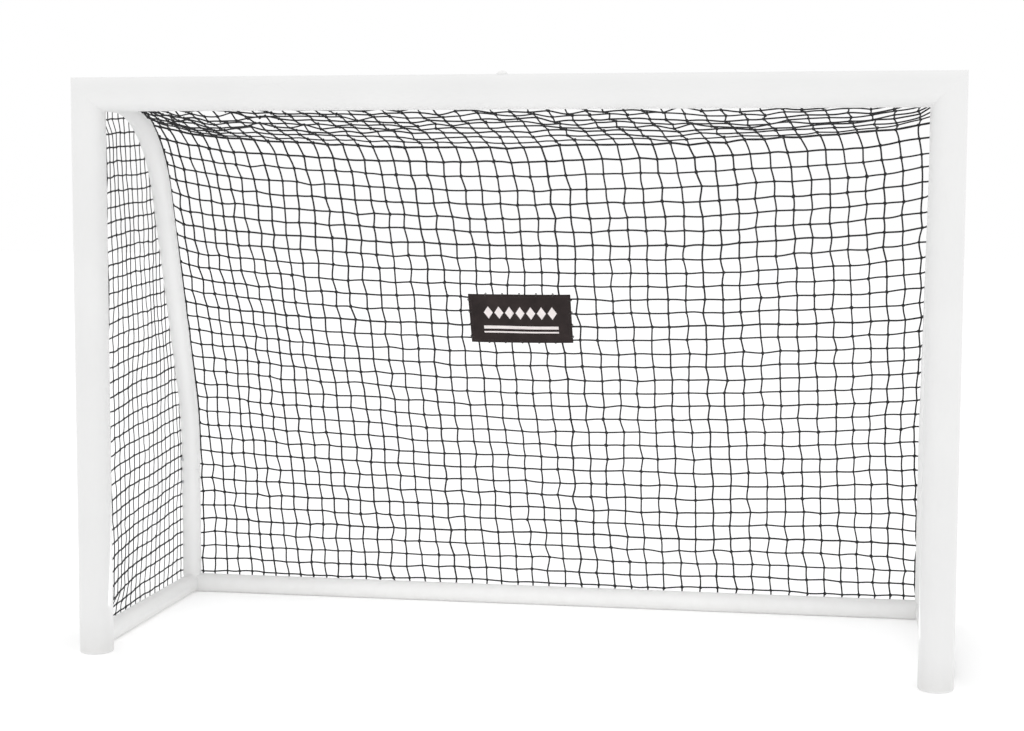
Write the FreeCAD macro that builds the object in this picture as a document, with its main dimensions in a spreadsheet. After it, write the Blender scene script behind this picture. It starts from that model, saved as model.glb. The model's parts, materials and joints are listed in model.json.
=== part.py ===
# Small-sided hockey goal: mitred round front frame, bent rear bows, ground bars and a net.
# Millimetres. X runs across the goal (left is -X), +Y to the rear, +Z up.
# Origin: centre of the footprint, on the ground.
import FreeCAD, Part
import Sketcher
import math
import os

Vector = FreeCAD.Vector
doc = FreeCAD.newDocument("goal")

# ---------------------------------------------------------------- dimensions
DIMENSIONS = [
    ("outer_width", 1800.0), ("outer_height", 1200.0),
    ("front_radius", 35.0), ("front_wall", 1.5),
    ("rear_radius", 22.0), ("rear_wall", 1.2),
    ("post_x", 865.0), ("post_y", -309.0), ("cross_z", 1165.0),
    ("bow_x", 874.0), ("rear_y", 317.0), ("ground_z", 22.0),
    ("foot_base", 4.0), ("foot_plug", 25.0), ("foot_round", 3.0),
    ("seam_x", -53.0),
    ("inner_front", 33.4), ("inner_rear", 20.7),
    ("sleeve_length", 300.0), ("sleeve_wall", 2.5), ("bore_overrun", 2.0),
    ("connector_leg", 120.0), ("connector_wall", 3.0),
    ("spigot_length", 90.0), ("spigot_wall", 2.0), ("cope_gap", 0.2),
    ("bow_top_z", 1158.0), ("bow_bend", 280.0), ("bow_bend_y", 181.04),
    ("bow_bend_low", 500.0), ("bow_lean", 18.2), ("bow_joint_z", 300.0),
    ("bow_sleeve_length", 96.0), ("rear_sleeve_length", 240.0),
    ("button_radius", 12.0), ("button_hole", 12.2), ("button_proud", 6.5),
    ("screw_six", 3.0), ("hole_six_free", 3.2), ("hole_six_tight", 3.05),
    ("screw_five", 2.5), ("hole_five_free", 2.7), ("hole_five_tight", 2.55),
    ("clip_pin", 2.4), ("clip_hole", 2.5), ("cord_radius", 1.5), ("cord_hole", 1.7),
    ("net_gap", 3.0), ("net_sheet", 2.0),
]
# alias, first dimension, sign, second dimension
DERIVED = [
    ("front_bore", "front_radius", "-", "front_wall"),
    ("rear_bore", "rear_radius", "-", "rear_wall"),
    ("connector_bore", "inner_front", "-", "connector_wall"),
    ("sleeve_bore", "inner_front", "-", "sleeve_wall"),
    ("sleeve_bore_length", "sleeve_length", "+", "bore_overrun"),
    ("spigot_bore", "inner_rear", "-", "spigot_wall"),
    ("spigot_run", "front_radius", "+", "spigot_length"),
    ("cope_radius", "front_radius", "+", "cope_gap"),
    ("stub_height", "bow_joint_z", "-", "ground_z"),
]


class Dimensions:
    """The spreadsheet's values, one attribute for each alias."""


dim = Dimensions()
sheet = doc.addObject("Spreadsheet::Sheet", "Dims")


def set_dimension(row, alias, content, value):
    cell = "B%d" % row
    sheet.set("A%d" % row, alias)
    sheet.set(cell, content)
    sheet.setAlias(cell, alias)
    setattr(dim, alias, value)


for row, (alias, value) in enumerate(DIMENSIONS, 2):
    set_dimension(row, alias, repr(value), value)
for row, (alias, first, sign, second) in enumerate(DERIVED, 2 + len(DIMENSIONS)):
    change = getattr(dim, second)
    value = getattr(dim, first) + (change if sign == "+" else -change)
    set_dimension(row, alias, "=%s %s %s" % (first, sign, second), value)
doc.recompute()

SIDES = ((-1, "left"), (1, "right"))
HALF_WIDTH = dim.outer_width / 2
BAR_TOP = dim.cross_z + dim.front_radius
DIAGONAL = math.sqrt(0.5)
REARWARD = Vector(0, 1, 0)
UP = Vector(0, 0, 1)

# Screw and clip places along the tubes
CROSS_CLIPS = [-700.0, -540.0, -380.0, -230.0, 230.0, 380.0, 540.0, 700.0]
POST_CLIPS = [120.0, 340.0, 560.0, 780.0, 1000.0]
GROUND_CLIPS_Y = [-150.0, 50.0, 250.0]
REAR_CLIPS_X = [150.0, 450.0, 750.0]
POST_SCREW_Z = 1080.0
CROSS_SCREW_X = 790.0
SLEEVE_SCREW_X = -180.0
SIDE_SCREW_Y = dim.post_y + dim.front_radius + 45.0
REAR_SCREW_X = 60.0
STUB_SCREW_RISE = -30.0             # from the bow joint
BOW_SCREW_RISE = 25.0
CLIP_DOWN = math.radians(35.0)      # ground clips point this far below level
CLIP_OUT, CLIP_DROP = math.cos(CLIP_DOWN), math.sin(CLIP_DOWN)

pieces = {}


def keep(label, obj):
    obj.Label = label
    pieces[label] = obj


# ---------------------------------------------------------------- body helpers
def new_body(name, base):
    body = doc.addObject("PartDesign::Body", name)
    body.Placement = FreeCAD.Placement(base, FreeCAD.Rotation())
    return body


def sketch(body, name, role):
    sk = body.newObject("Sketcher::SketchObject", name)
    plane = next(f for f in body.Origin.OriginFeatures if f.Role == role)
    sk.AttachmentSupport = (plane, [""])
    sk.MapMode = "FlatFace"
    return sk


def circle(sk, x, y, alias, name):
    # circle whose radius constraint is bound to a dimension
    radius = getattr(dim, alias)
    index = sk.addGeometry(Part.Circle(Vector(x, y, 0), UP, radius), False)
    constraint = sk.addConstraint(Sketcher.Constraint("Radius", index, radius))
    sk.renameConstraint(constraint, name)
    sk.setExpression("Constraints." + name, "Dims." + alias)
    if abs(x) < 1e-9 and abs(y) < 1e-9:
        sk.addConstraint(Sketcher.Constraint("Coincident", index, 3, -1, 1))
    else:
        sk.addConstraint(Sketcher.Constraint("DistanceX", -1, 1, index, 3, x))
        sk.addConstraint(Sketcher.Constraint("DistanceY", -1, 1, index, 3, y))


def segment(sk, start, end):
    return sk.addGeometry(Part.LineSegment(Vector(*start, 0), Vector(*end, 0)), False)


def polygon(sk, points):
    count = len(points)
    lines = [segment(sk, points[i], points[(i + 1) % count]) for i in range(count)]
    for i in range(count):
        sk.addConstraint(Sketcher.Constraint("Coincident", lines[i], 2, lines[(i + 1) % count], 1))
    for line, (x, y) in zip(lines, points):
        sk.addConstraint(Sketcher.Constraint("DistanceX", -1, 1, line, 1, x))
        sk.addConstraint(Sketcher.Constraint("DistanceY", -1, 1, line, 1, y))


def pad(body, sk, length, expression, reverse=False):
    feature = body.newObject("PartDesign::Pad", sk.Name + "_pad")
    feature.Profile = sk
    feature.Length = length
    feature.Reversed = reverse
    feature.setExpression("Length", expression)
    sk.Visibility = False
    doc.recompute()


def pocket(body, sk, length, gone, stays, midplane=False):
    # gone and stays: points of the body that the pocket must remove and must leave
    feature = body.newObject("PartDesign::Pocket", sk.Name + "_pocket")
    feature.Profile = sk
    feature.Length = length
    feature.Midplane = midplane
    doc.recompute()

    def right_way():
        shape = feature.Shape
        return not shape.isInside(gone, 1e-4, True) and shape.isInside(stays, 1e-4, True)
    if not right_way():
        feature.Reversed = True
        doc.recompute()
        if not right_way():
            raise RuntimeError("pocket " + sk.Name)


def revolve(body, sk, name):
    doc.recompute()
    feature = body.newObject("PartDesign::Revolution", name)
    feature.Profile = sk
    feature.ReferenceAxis = (sk, ["V_Axis"])
    feature.Angle = 360.0
    doc.recompute()
    return feature


# ---------------------------------------------------------------- solid helpers
def cylinder(name, base, direction, radius, height):
    # radius and height: a number, or the alias of the dimension that drives it
    obj = doc.addObject("Part::Cylinder", name)
    obj.Placement = FreeCAD.Placement(base, FreeCAD.Rotation(UP, direction))
    for prop, size in (("Radius", radius), ("Height", height)):
        if isinstance(size, str):
            obj.setExpression(prop, "Dims." + size)
        else:
            setattr(obj, prop, size)
    return obj


def fuse(name, shapes):
    obj = doc.addObject("Part::MultiFuse", name)
    obj.Shapes = shapes
    return obj


def cut(name, base, tools):
    tool = fuse(name + "_tools", tools) if len(tools) > 1 else tools[0]
    obj = doc.addObject("Part::Cut", name)
    obj.Base = base
    obj.Tool = tool
    return obj


def feature(name, shape):
    obj = doc.addObject("Part::Feature", name)
    obj.Shape = shape
    return obj


def prism(name, corners, extrusion):
    face = Part.Face(Part.makePolygon(corners + [corners[0]]))
    return feature(name, face.extrude(extrusion))


def group(label, shapes):
    solids = [solid for shape in shapes for solid in shape.Solids]
    keep(label, feature(label, Part.makeCompound(solids)))


# ---------------------------------------------------------------- front frame
MITRE_MARGIN = 15.0
IN_WALL = dim.front_radius - 0.7    # a radius within the thickness of the front tube
POCKET_THROUGH = 100                # cuts the whole tube
POCKET_WALL = 60                    # from the axis, cuts one wall


def ring_sketch(body, label, role):
    sk = sketch(body, label + "_ring", role)
    circle(sk, 0, 0, "front_radius", "outer")
    circle(sk, 0, 0, "front_bore", "inner")
    return sk


def make_post(sign, side):
    label = "post_" + side
    body = new_body(label, Vector(sign * dim.post_x, dim.post_y, 0))
    pad(body, ring_sketch(body, label, "XY_Plane"), dim.outer_height, "Dims.outer_height")
    # the tube starts on top of the foot cap
    base = sketch(body, label + "_base", "XZ_Plane")
    polygon(base, [(-50, -5), (50, -5), (50, dim.foot_base), (-50, dim.foot_base)])
    pocket(body, base, POCKET_THROUGH, Vector(IN_WALL, 0, 1), Vector(IN_WALL, 0, 50), midplane=True)
    # 45 degree mitre at the top
    mitre = sketch(body, label + "_mitre", "XZ_Plane")
    top = dim.outer_height
    reach = dim.front_radius + MITRE_MARGIN
    polygon(mitre, [(sign * reach, top + MITRE_MARGIN), (-sign * reach, top + MITRE_MARGIN),
                    (-sign * reach, top - 2 * dim.front_radius - MITRE_MARGIN)])
    pocket(body, mitre, POCKET_THROUGH, Vector(-sign * IN_WALL, 0, top - 5),
           Vector(sign * IN_WALL, 0, top - 5), midplane=True)
    # screw and clip holes in the rear wall
    holes = sketch(body, label + "_holes", "XZ_Plane")
    circle(holes, 0, POST_SCREW_Z, "hole_six_free", "screw")
    for i, z in enumerate(POST_CLIPS):
        circle(holes, 0, z, "clip_hole", "clip%d" % i)
    pocket(body, holes, POCKET_WALL, Vector(0, IN_WALL, POST_SCREW_Z),
           Vector(0, -IN_WALL, POST_SCREW_Z))
    keep(label, body)


def make_crossbar(sign, side):
    # one part of the crossbar, from its mitred corner to the seam
    label = "crossbar_" + side
    body = new_body(label, Vector(sign * HALF_WIDTH, dim.post_y, dim.cross_z))
    pad(body, ring_sketch(body, label, "YZ_Plane"), HALF_WIDTH - sign * dim.seam_x,
        "Dims.outer_width / 2 %s Dims.seam_x" % ("+" if sign < 0 else "-"), reverse=(sign > 0))
    mitre = sketch(body, label + "_mitre", "XZ_Plane")
    low = -dim.front_radius - MITRE_MARGIN
    polygon(mitre, [(sign * MITRE_MARGIN, -low), (sign * MITRE_MARGIN, low),
                    (-sign * (2 * dim.front_radius + MITRE_MARGIN), low)])
    pocket(body, mitre, POCKET_THROUGH, Vector(-sign * 5, 0, -IN_WALL),
           Vector(-sign * 5, 0, IN_WALL), midplane=True)
    # screw and clip holes in the rear wall
    holes = sketch(body, label + "_holes", "XZ_Plane")
    screw_x = sign * (CROSS_SCREW_X - HALF_WIDTH)
    circle(holes, screw_x, 0, "hole_six_free", "screw")
    if sign < 0:
        circle(holes, HALF_WIDTH + SLEEVE_SCREW_X, 0, "hole_six_free", "sleeve")
    for i, x in enumerate([clip for clip in CROSS_CLIPS if clip * sign > 0]):
        circle(holes, x - sign * HALF_WIDTH, 0, "clip_hole", "clip%d" % i)
    pocket(body, holes, POCKET_WALL, Vector(screw_x, IN_WALL, 0), Vector(screw_x, -IN_WALL, 0))
    if sign > 0:
        button = sketch(body, label + "_button_hole", "XY_Plane")
        circle(button, -HALF_WIDTH, 0, "button_hole", "button")
        pocket(body, button, POCKET_WALL, Vector(-HALF_WIDTH, 0, IN_WALL),
               Vector(-HALF_WIDTH, 0, -IN_WALL))
    keep(label, body)


FOOT_PLUG_WALL = 3.0
FOOT_FLOOR = 2.0                    # floor of the hollow plug, above the base


def make_foot(sign, side):
    # cap closing a post: a hollow plug in the tube on a rounded base
    label = "post_foot_" + side
    body = new_body(label, Vector(sign * dim.post_x, dim.post_y, 0))
    profile = sketch(body, label + "_profile", "XZ_Plane")
    base, plug_top = dim.foot_base, dim.foot_base + dim.foot_plug
    hollow = dim.inner_front - FOOT_PLUG_WALL
    polygon(profile, [(0, 0), (dim.front_radius, 0), (dim.front_radius, base),
                      (dim.inner_front, base), (dim.inner_front, plug_top), (hollow, plug_top),
                      (hollow, base + FOOT_FLOOR), (0, base + FOOT_FLOOR)])
    turn = revolve(body, profile, label + "_turn")
    # the full-width rim edge on the ground
    rim = [i + 1 for i, edge in enumerate(turn.Shape.Edges)
           if abs(edge.BoundBox.ZMax) < 1e-6
           and edge.BoundBox.XMax - edge.BoundBox.XMin > 2 * dim.front_radius - 1e-3]
    fillet = body.newObject("PartDesign::Fillet", label + "_round")
    fillet.Base = (turn, ["Edge%d" % rim[0]])
    fillet.Radius = dim.foot_round
    fillet.setExpression("Radius", "Dims.foot_round")
    doc.recompute()
    keep(label, body)


def make_corner_connector(sign, side):
    # hollow mitred elbow inside a top corner
    label = "corner_connector_" + side
    x, y, z = sign * dim.post_x, dim.post_y, dim.cross_z
    leg = dim.connector_leg
    length = leg + 60               # runs past the mitre
    half = 150                      # half side of the triangles beyond the mitre

    def beyond(name, across, rise):
        return prism(name, [Vector(x + sign * half, y - 60, z + half),
                            Vector(x - sign * half, y - 60, z - half),
                            Vector(x + across * half, y - 60, z + rise * half)],
                     Vector(0, 120, 0))

    elbows = []
    for radius, tag in (("inner_front", "outer"), ("connector_bore", "inner")):
        upright = cylinder(label + "_up_" + tag, Vector(x, y, z - leg), UP, radius, length)
        across = cylinder(label + "_across_" + tag, Vector(x - sign * leg, y, z),
                          Vector(sign, 0, 0), radius, length)
        above = beyond(label + "_mitre_%s_0" % tag, -sign, 1)
        below = beyond(label + "_mitre_%s_1" % tag, sign, -1)
        elbows.append(fuse(label + "_legs_" + tag,
                           [cut(label + "_upcut_" + tag, upright, [above]),
                            cut(label + "_acut_" + tag, across, [below])]))
    holes = [cylinder(label + "_hole_post", Vector(x, y + 10, POST_SCREW_Z), REARWARD,
                      "hole_six_tight", 40),
             cylinder(label + "_hole_bar", Vector(sign * CROSS_SCREW_X, y + 10, z), REARWARD,
                      "hole_six_tight", 40)]
    keep(label, cut(label, elbows[0], [elbows[1]] + holes))


# Seat of the locking button's spring, inside the crossbar sleeve
SEAT_BASE_Z = dim.cross_z - dim.inner_front + 1.5
SEAT_RADIUS, SEAT_HEIGHT = 9.0, 7.2
SEAT_PIN_RADIUS, SEAT_PIN_HEIGHT = 4.5, 15.0


def make_crossbar_sleeve():
    # sleeve joining the crossbar parts, with the spring seat at its bottom
    y, z = dim.post_y, dim.cross_z
    start = dim.seam_x - dim.sleeve_length / 2
    right = Vector(1, 0, 0)
    outer = cylinder("sleeve_outer", Vector(start, y, z), right, "inner_front", "sleeve_length")
    bore = cylinder("sleeve_inner", Vector(start - dim.bore_overrun / 2, y, z), right,
                    "sleeve_bore", "sleeve_bore_length")
    button = cylinder("sleeve_button_hole", Vector(0, y, z), UP, "button_hole", 60)
    screw = cylinder("sleeve_screw_hole", Vector(SLEEVE_SCREW_X, y + 10, z), REARWARD,
                     "hole_six_tight", 40)
    tube = cut("sleeve_tube", outer, [bore, button, screw])
    base = Vector(0, y, SEAT_BASE_Z)
    seat = cylinder("sleeve_seat", base, UP, SEAT_RADIUS, SEAT_HEIGHT)
    pin = cylinder("sleeve_seat_pin", base, UP, SEAT_PIN_RADIUS, SEAT_PIN_HEIGHT)
    keep("crossbar_sleeve", fuse("crossbar_sleeve", [tube, seat, pin]))


# Locking button: depths are below the top of the crossbar
BUTTON_FLANGE_RADIUS = 15.5
BUTTON_FLANGE_TOP, BUTTON_FLANGE_BOTTOM = 9.0, 13.0
BUTTON_BORE_RADIUS = 8.5
BUTTON_BORE_TOP = 4.0


def make_lock_button():
    # domed, flanged at the bottom and bored from below
    body = new_body("crossbar_lock_button", Vector(0, dim.post_y, 0))
    profile = sketch(body, "button_profile", "XZ_Plane")
    radius, proud = dim.button_radius, dim.button_proud
    dome_radius = (radius * radius + proud * proud) / (2 * proud)
    middle = radius * 0.55
    middle_z = (BAR_TOP + proud - dome_radius
                + math.sqrt(dome_radius * dome_radius - middle * middle))
    points = [(radius, BAR_TOP), (radius, BAR_TOP - BUTTON_FLANGE_TOP),
              (BUTTON_FLANGE_RADIUS, BAR_TOP - BUTTON_FLANGE_TOP),
              (BUTTON_FLANGE_RADIUS, BAR_TOP - BUTTON_FLANGE_BOTTOM),
              (BUTTON_BORE_RADIUS, BAR_TOP - BUTTON_FLANGE_BOTTOM),
              (BUTTON_BORE_RADIUS, BAR_TOP - BUTTON_BORE_TOP),
              (0, BAR_TOP - BUTTON_BORE_TOP), (0, BAR_TOP + proud)]
    profile.addGeometry(Part.Arc(Vector(0, BAR_TOP + proud, 0), Vector(middle, middle_z, 0),
                                 Vector(radius, BAR_TOP, 0)), False)
    for start, end in zip(points, points[1:]):
        segment(profile, start, end)
    revolve(body, profile, "button_turn")
    keep("crossbar_lock_button", body)


def make_lock_spring():
    # half turns, each a half ring tilted by half the pitch, so they meet end to end
    wire_radius, coil_radius, turns, clearance = 1.0, 6.6, 6, 0.05
    bottom = SEAT_BASE_Z + SEAT_HEIGHT + wire_radius + clearance
    top = BAR_TOP - BUTTON_BORE_TOP - wire_radius - clearance
    pitch = (top - bottom) / turns
    tilt = math.atan2(pitch / 4.0, coil_radius)
    halves = []
    for i in range(2 * turns):
        ring = Part.makeTorus(coil_radius / math.cos(tilt), wire_radius, Vector(0, 0, 0), UP,
                              0, 360, 180)
        turn = FreeCAD.Rotation(UP, 180.0 * (i % 2))
        lean = FreeCAD.Rotation(REARWARD, math.degrees(tilt) * (1 if i % 2 == 0 else -1))
        centre = Vector(0, dim.post_y, bottom + pitch / 4.0 + pitch / 2.0 * i)
        ring.Placement = FreeCAD.Placement(centre, lean.multiply(turn))
        halves.append(ring)
    keep("crossbar_lock_spring",
         feature("crossbar_lock_spring", halves[0].multiFuse(halves[1:]).Solids[0]))


# ---------------------------------------------------------------- rear frame
# Screw and clip seats: a point on the tube axis and the direction outwards
def low_joint(sign):
    return (Vector(sign * dim.bow_x, SIDE_SCREW_Y, dim.ground_z),
            Vector(sign * DIAGONAL, 0, DIAGONAL))


def high_joint(sign):
    return (Vector(sign * dim.bow_x, SIDE_SCREW_Y, dim.bow_top_z),
            Vector(-sign * DIAGONAL, 0, DIAGONAL))


def upright_joint(sign, rise):
    return (Vector(sign * dim.bow_x, dim.rear_y, dim.bow_joint_z + rise),
            Vector(sign * DIAGONAL, -DIAGONAL, 0))


def rear_joint(sign):
    return (Vector(sign * REAR_SCREW_X, dim.rear_y, dim.ground_z),
            Vector(0, DIAGONAL, DIAGONAL))


def ground_clip_seat(sign, y):
    return Vector(sign * dim.bow_x, y, dim.ground_z), Vector(sign * CLIP_OUT, 0, -CLIP_DROP)


def rear_clip_seat(sign, x):
    return Vector(sign * x, dim.rear_y, dim.ground_z), Vector(0, CLIP_OUT, -CLIP_DROP)


def mitred_bar(name, sign, radius):
    # the crossbar's round section as far as the mitre, to cope what meets the corner from behind
    bar = cylinder(name + "_round", Vector(sign * (dim.bow_x + 60), dim.post_y, dim.cross_z),
                   Vector(-sign, 0, 0), radius, 120)
    corner, top = HALF_WIDTH + 0.3, dim.outer_height
    y = dim.post_y - 60
    post_side = prism(name + "_mitre", [Vector(sign * (corner + 90), y, top + 90),
                                        Vector(sign * (corner - 130), y, top - 130),
                                        Vector(sign * (corner + 90), y, top - 130)],
                      Vector(0, 120, 0))
    return cut(name, bar, [post_side])


def beyond_rear_mitre(name, sign, bar_axis):
    # what lies beyond the 45 degree mitre of a rear corner, for a bar running along bar_axis
    x, y, half = sign * dim.bow_x, dim.rear_y, 60
    toward = -1 if bar_axis == "y" else 1
    return prism(name, [Vector(x + sign * half, y + half, -60),
                        Vector(x - sign * half, y - half, -60),
                        Vector(x + toward * sign * half, y - toward * half, -60)],
                 Vector(0, 0, 160))


def make_spigots(sign, side):
    # welded to the back of the post: the lower takes the ground bar, the upper the bow
    spigots = []
    for z, tag, joint in ((dim.ground_z, "low", low_joint(sign)),
                          (dim.bow_top_z, "high", high_joint(sign))):
        name = "spigot_%s_%s" % (side, tag)
        base = Vector(sign * dim.bow_x, dim.post_y, z)
        outer = cylinder(name + "_outer", base, REARWARD, "inner_rear", "spigot_run")
        tools = [cylinder(name + "_bore", base, REARWARD, "spigot_bore", 200),
                 cylinder(name + "_cope", Vector(sign * dim.post_x, dim.post_y, z - 60), UP,
                          "front_radius", 120),
                 cylinder(name + "_hole", *joint, "hole_five_tight", 30)]
        if tag == "high":
            tools.append(mitred_bar(name + "_cope_bar", sign, "front_radius"))
        spigots.append(cut(name, outer, tools))
    compound = doc.addObject("Part::Compound", "spigots_" + side)
    compound.Links = spigots
    keep("spigots_" + side, compound)


MITRE_SPARE = 10                    # bar length past the corner, before it is mitred


def make_ground_bar(sign, side):
    # from the post to the mitred rear corner
    name = "ground_bar_" + side
    x, z = sign * dim.bow_x, dim.ground_z
    length = dim.rear_y + dim.rear_radius + MITRE_SPARE - dim.post_y
    outer = cylinder(name + "_outer", Vector(x, dim.post_y, z), REARWARD, "rear_radius", length)
    tools = [cylinder(name + "_bore", Vector(x, dim.post_y - 1, z), REARWARD, "rear_bore",
                      length + 2),
             cylinder(name + "_cope", Vector(sign * dim.post_x, dim.post_y, -60), UP,
                      "cope_radius", 160),
             beyond_rear_mitre(name + "_mitre", sign, "y"),
             cylinder(name + "_screw", *low_joint(sign), "hole_five_free", 40)]
    for i, y in enumerate(GROUND_CLIPS_Y):
        tools.append(cylinder(name + "_clip%d" % i, *ground_clip_seat(sign, y), "clip_hole", 40))
    keep(name, cut(name, outer, tools))


def make_rear_bar(sign, side):
    # half of the rear ground bar, from the corner to the middle
    name = "rear_bar_" + side
    y, z = dim.rear_y, dim.ground_z
    outward = Vector(sign, 0, 0)
    length = dim.bow_x + dim.rear_radius + MITRE_SPARE
    outer = cylinder(name + "_outer", Vector(0, y, z), outward, "rear_radius", length)
    tools = [cylinder(name + "_bore", Vector(-sign, y, z), outward, "rear_bore", length + 2),
             beyond_rear_mitre(name + "_mitre", sign, "x"),
             cylinder(name + "_screw", *rear_joint(sign), "hole_five_free", 40)]
    for i, x in enumerate(REAR_CLIPS_X):
        tools.append(cylinder(name + "_clip%d" % i, *rear_clip_seat(sign, x), "clip_hole", 40))
    keep(name, cut(name, outer, tools))


def make_corner_stub(sign, side):
    # upright stub welded on the rear corner, coped over both ground bars
    name = "corner_stub_" + side
    x, y, z = sign * dim.bow_x, dim.rear_y, dim.ground_z
    outer = cylinder(name + "_outer", Vector(x, y, z), UP, "rear_radius", "stub_height")
    tools = [cylinder(name + "_bore", Vector(x, y, z - 1), UP, "rear_bore", dim.bow_joint_z),
             cylinder(name + "_cope_side", Vector(x, y - 60, z), REARWARD, "rear_radius", 120),
             cylinder(name + "_cope_rear", Vector(x - 60, y, z), Vector(1, 0, 0),
                      "rear_radius", 120),
             cylinder(name + "_screw", *upright_joint(sign, STUB_SCREW_RISE),
                      "hole_five_free", 40)]
    keep(name, cut(name, outer, tools))


def make_bow_sleeve(sign, side):
    # sleeve inside the joint of stub and bow
    name = "bow_sleeve_" + side
    x, y, joint_z, length = sign * dim.bow_x, dim.rear_y, dim.bow_joint_z, dim.bow_sleeve_length
    outer = cylinder(name + "_outer", Vector(x, y, joint_z - length / 2 - 6), UP,
                     "inner_rear", "bow_sleeve_length")
    tools = [cylinder(name + "_bore", Vector(x, y, joint_z - length), UP,
                      "spigot_bore", 2 * length)]
    for i, rise in enumerate((STUB_SCREW_RISE, BOW_SCREW_RISE)):
        tools.append(cylinder(name + "_hole%d" % i, *upright_joint(sign, rise),
                              "hole_five_tight", 40))
    keep(name, cut(name, outer, tools))


def make_rear_bar_sleeve():
    # sleeve inside the joint of the two rear bars
    name = "rear_bar_sleeve"
    length = dim.rear_sleeve_length
    right = Vector(1, 0, 0)
    outer = cylinder(name + "_outer", Vector(-length / 2, dim.rear_y, dim.ground_z), right,
                     "inner_rear", "rear_sleeve_length")
    tools = [cylinder(name + "_bore", Vector(-length, dim.rear_y, dim.ground_z), right,
                      "spigot_bore", 2 * length)]
    for i, (sign, _) in enumerate(SIDES):
        tools.append(cylinder(name + "_hole%d" % i, *rear_joint(sign), "hole_five_tight", 40))
    keep(name, cut(name, outer, tools))


# ---------------------------------------------------------------- bows
# The centre line lies in a YZ plane: level, upper bend, leaning straight, lower bend, upright.
# Angles are taken from straight up towards the rear.
LEAN = math.radians(90.0 - dim.bow_lean)
UPPER_CENTRE = (dim.post_y + dim.bow_bend_y, dim.bow_top_z - dim.bow_bend)
LOWER_Y = dim.rear_y - dim.bow_bend_low
# height at which the leaning straight is tangent to both bends
LOWER_CENTRE = (LOWER_Y, (UPPER_CENTRE[0] * math.sin(LEAN) + UPPER_CENTRE[1] * math.cos(LEAN)
                          + dim.bow_bend - dim.bow_bend_low
                          - LOWER_Y * math.sin(LEAN)) / math.cos(LEAN))


def on_arc(centre, radius, angle):
    return centre[0] + radius * math.sin(angle), centre[1] + radius * math.cos(angle)


def bow_curve(offset):
    # start, middle and end of the upper and of the lower bend, shifted outwards by offset
    upper, lower = dim.bow_bend + offset, dim.bow_bend_low + offset
    return ([on_arc(UPPER_CENTRE, upper, angle) for angle in (0.0, LEAN / 2, LEAN)]
            + [on_arc(LOWER_CENTRE, lower, angle)
               for angle in (LEAN, (LEAN + math.pi / 2) / 2, math.pi / 2)])


def bow_points(offset, y_start, z_end, step):
    # the same curve as (y, z) points about a step apart, from y_start down to z_end
    upper, lower = dim.bow_bend + offset, dim.bow_bend_low + offset
    level_end, _, lean_start, lean_end, _, upright_start = bow_curve(offset)
    end = (upright_start[0], z_end)
    points = []

    def add_straight(start, stop):
        dy, dz = stop[0] - start[0], stop[1] - start[1]
        count = max(1, int(round(math.hypot(dy, dz) / step)))
        for i in range(count):
            share = i / float(count)
            points.append((start[0] + dy * share, start[1] + dz * share))

    def add_bend(centre, radius, first, last):
        count = max(2, int(round(radius * (last - first) / step)))
        for i in range(count):
            points.append(on_arc(centre, radius, first + (last - first) * i / count))

    if y_start < level_end[0] - 1:
        add_straight((y_start, level_end[1]), level_end)
    add_bend(UPPER_CENTRE, upper, math.asin(max(0.0, (y_start - UPPER_CENTRE[0]) / upper)), LEAN)
    add_straight(lean_start, lean_end)
    add_bend(LOWER_CENTRE, lower, LEAN, math.pi / 2)
    add_straight(upright_start, end)
    points.append(end)
    return points


BOW_JOINT_GAP = 0.3


def bow_edges(corners):
    # spine edges through eight points: level start, the six of bow_curve and the lower end
    start, top, top_mid, lean_start, lean_end, low_mid, low, end = corners
    return [Part.LineSegment(start, top), Part.Arc(top, top_mid, lean_start),
            Part.LineSegment(lean_start, lean_end), Part.Arc(lean_end, low_mid, low),
            Part.LineSegment(low, end)]


def make_bow(sign, side):
    label = "bow_" + side
    body = new_body(label + "_bent_tube", Vector(sign * dim.bow_x, 0, 0))
    curve = bow_curve(0)
    top_z = curve[0][1]
    corners = ([(dim.post_y, top_z)] + curve
               + [(curve[-1][0], dim.bow_joint_z + BOW_JOINT_GAP)])
    path = sketch(body, label + "_path", "YZ_Plane")
    for edge in bow_edges([Vector(y, z, 0) for y, z in corners]):
        path.addGeometry(edge, False)
    section = sketch(body, label + "_section", "XZ_Plane")
    section.AttachmentOffset = FreeCAD.Placement(Vector(0, 0, -dim.post_y), FreeCAD.Rotation())
    circle(section, 0, top_z, "rear_radius", "outer")
    circle(section, 0, top_z, "rear_bore", "inner")
    doc.recompute()
    pipe = body.newObject("PartDesign::AdditivePipe", label + "_tube")
    pipe.Profile = section
    pipe.Spine = (path, ["Edge%d" % (i + 1) for i in range(5)])
    doc.recompute()
    # coped against the post: a pocket with the post's round section, through the tube end
    cope = sketch(body, label + "_cope", "XY_Plane")
    circle(cope, -sign * (dim.bow_x - dim.post_x), dim.post_y, "cope_radius", "post")
    cope_pocket = body.newObject("PartDesign::Pocket", label + "_cope_pocket")
    cope_pocket.Profile = cope
    cope_pocket.Type = 1            # through all
    cope_pocket.Midplane = True
    doc.recompute()
    tools = [cylinder(label + "_hole_top", *high_joint(sign), "hole_five_free", 40),
             cylinder(label + "_hole_low", *upright_joint(sign, BOW_SCREW_RISE),
                      "hole_five_free", 40),
             mitred_bar(label + "_cope_bar", sign, "cope_radius")]
    keep(label, cut(label, body, tools))


# ---------------------------------------------------------------- screws
FRONT_SCREW = dict(shank_radius=dim.screw_six, length=8, head_radius=5.5, head_height=3.0,
                   tube_radius=dim.front_radius)
REAR_SCREW = dict(shank_radius=dim.screw_five, length=6, head_radius=4.5, head_height=2.4,
                  tube_radius=dim.rear_radius)


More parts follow.
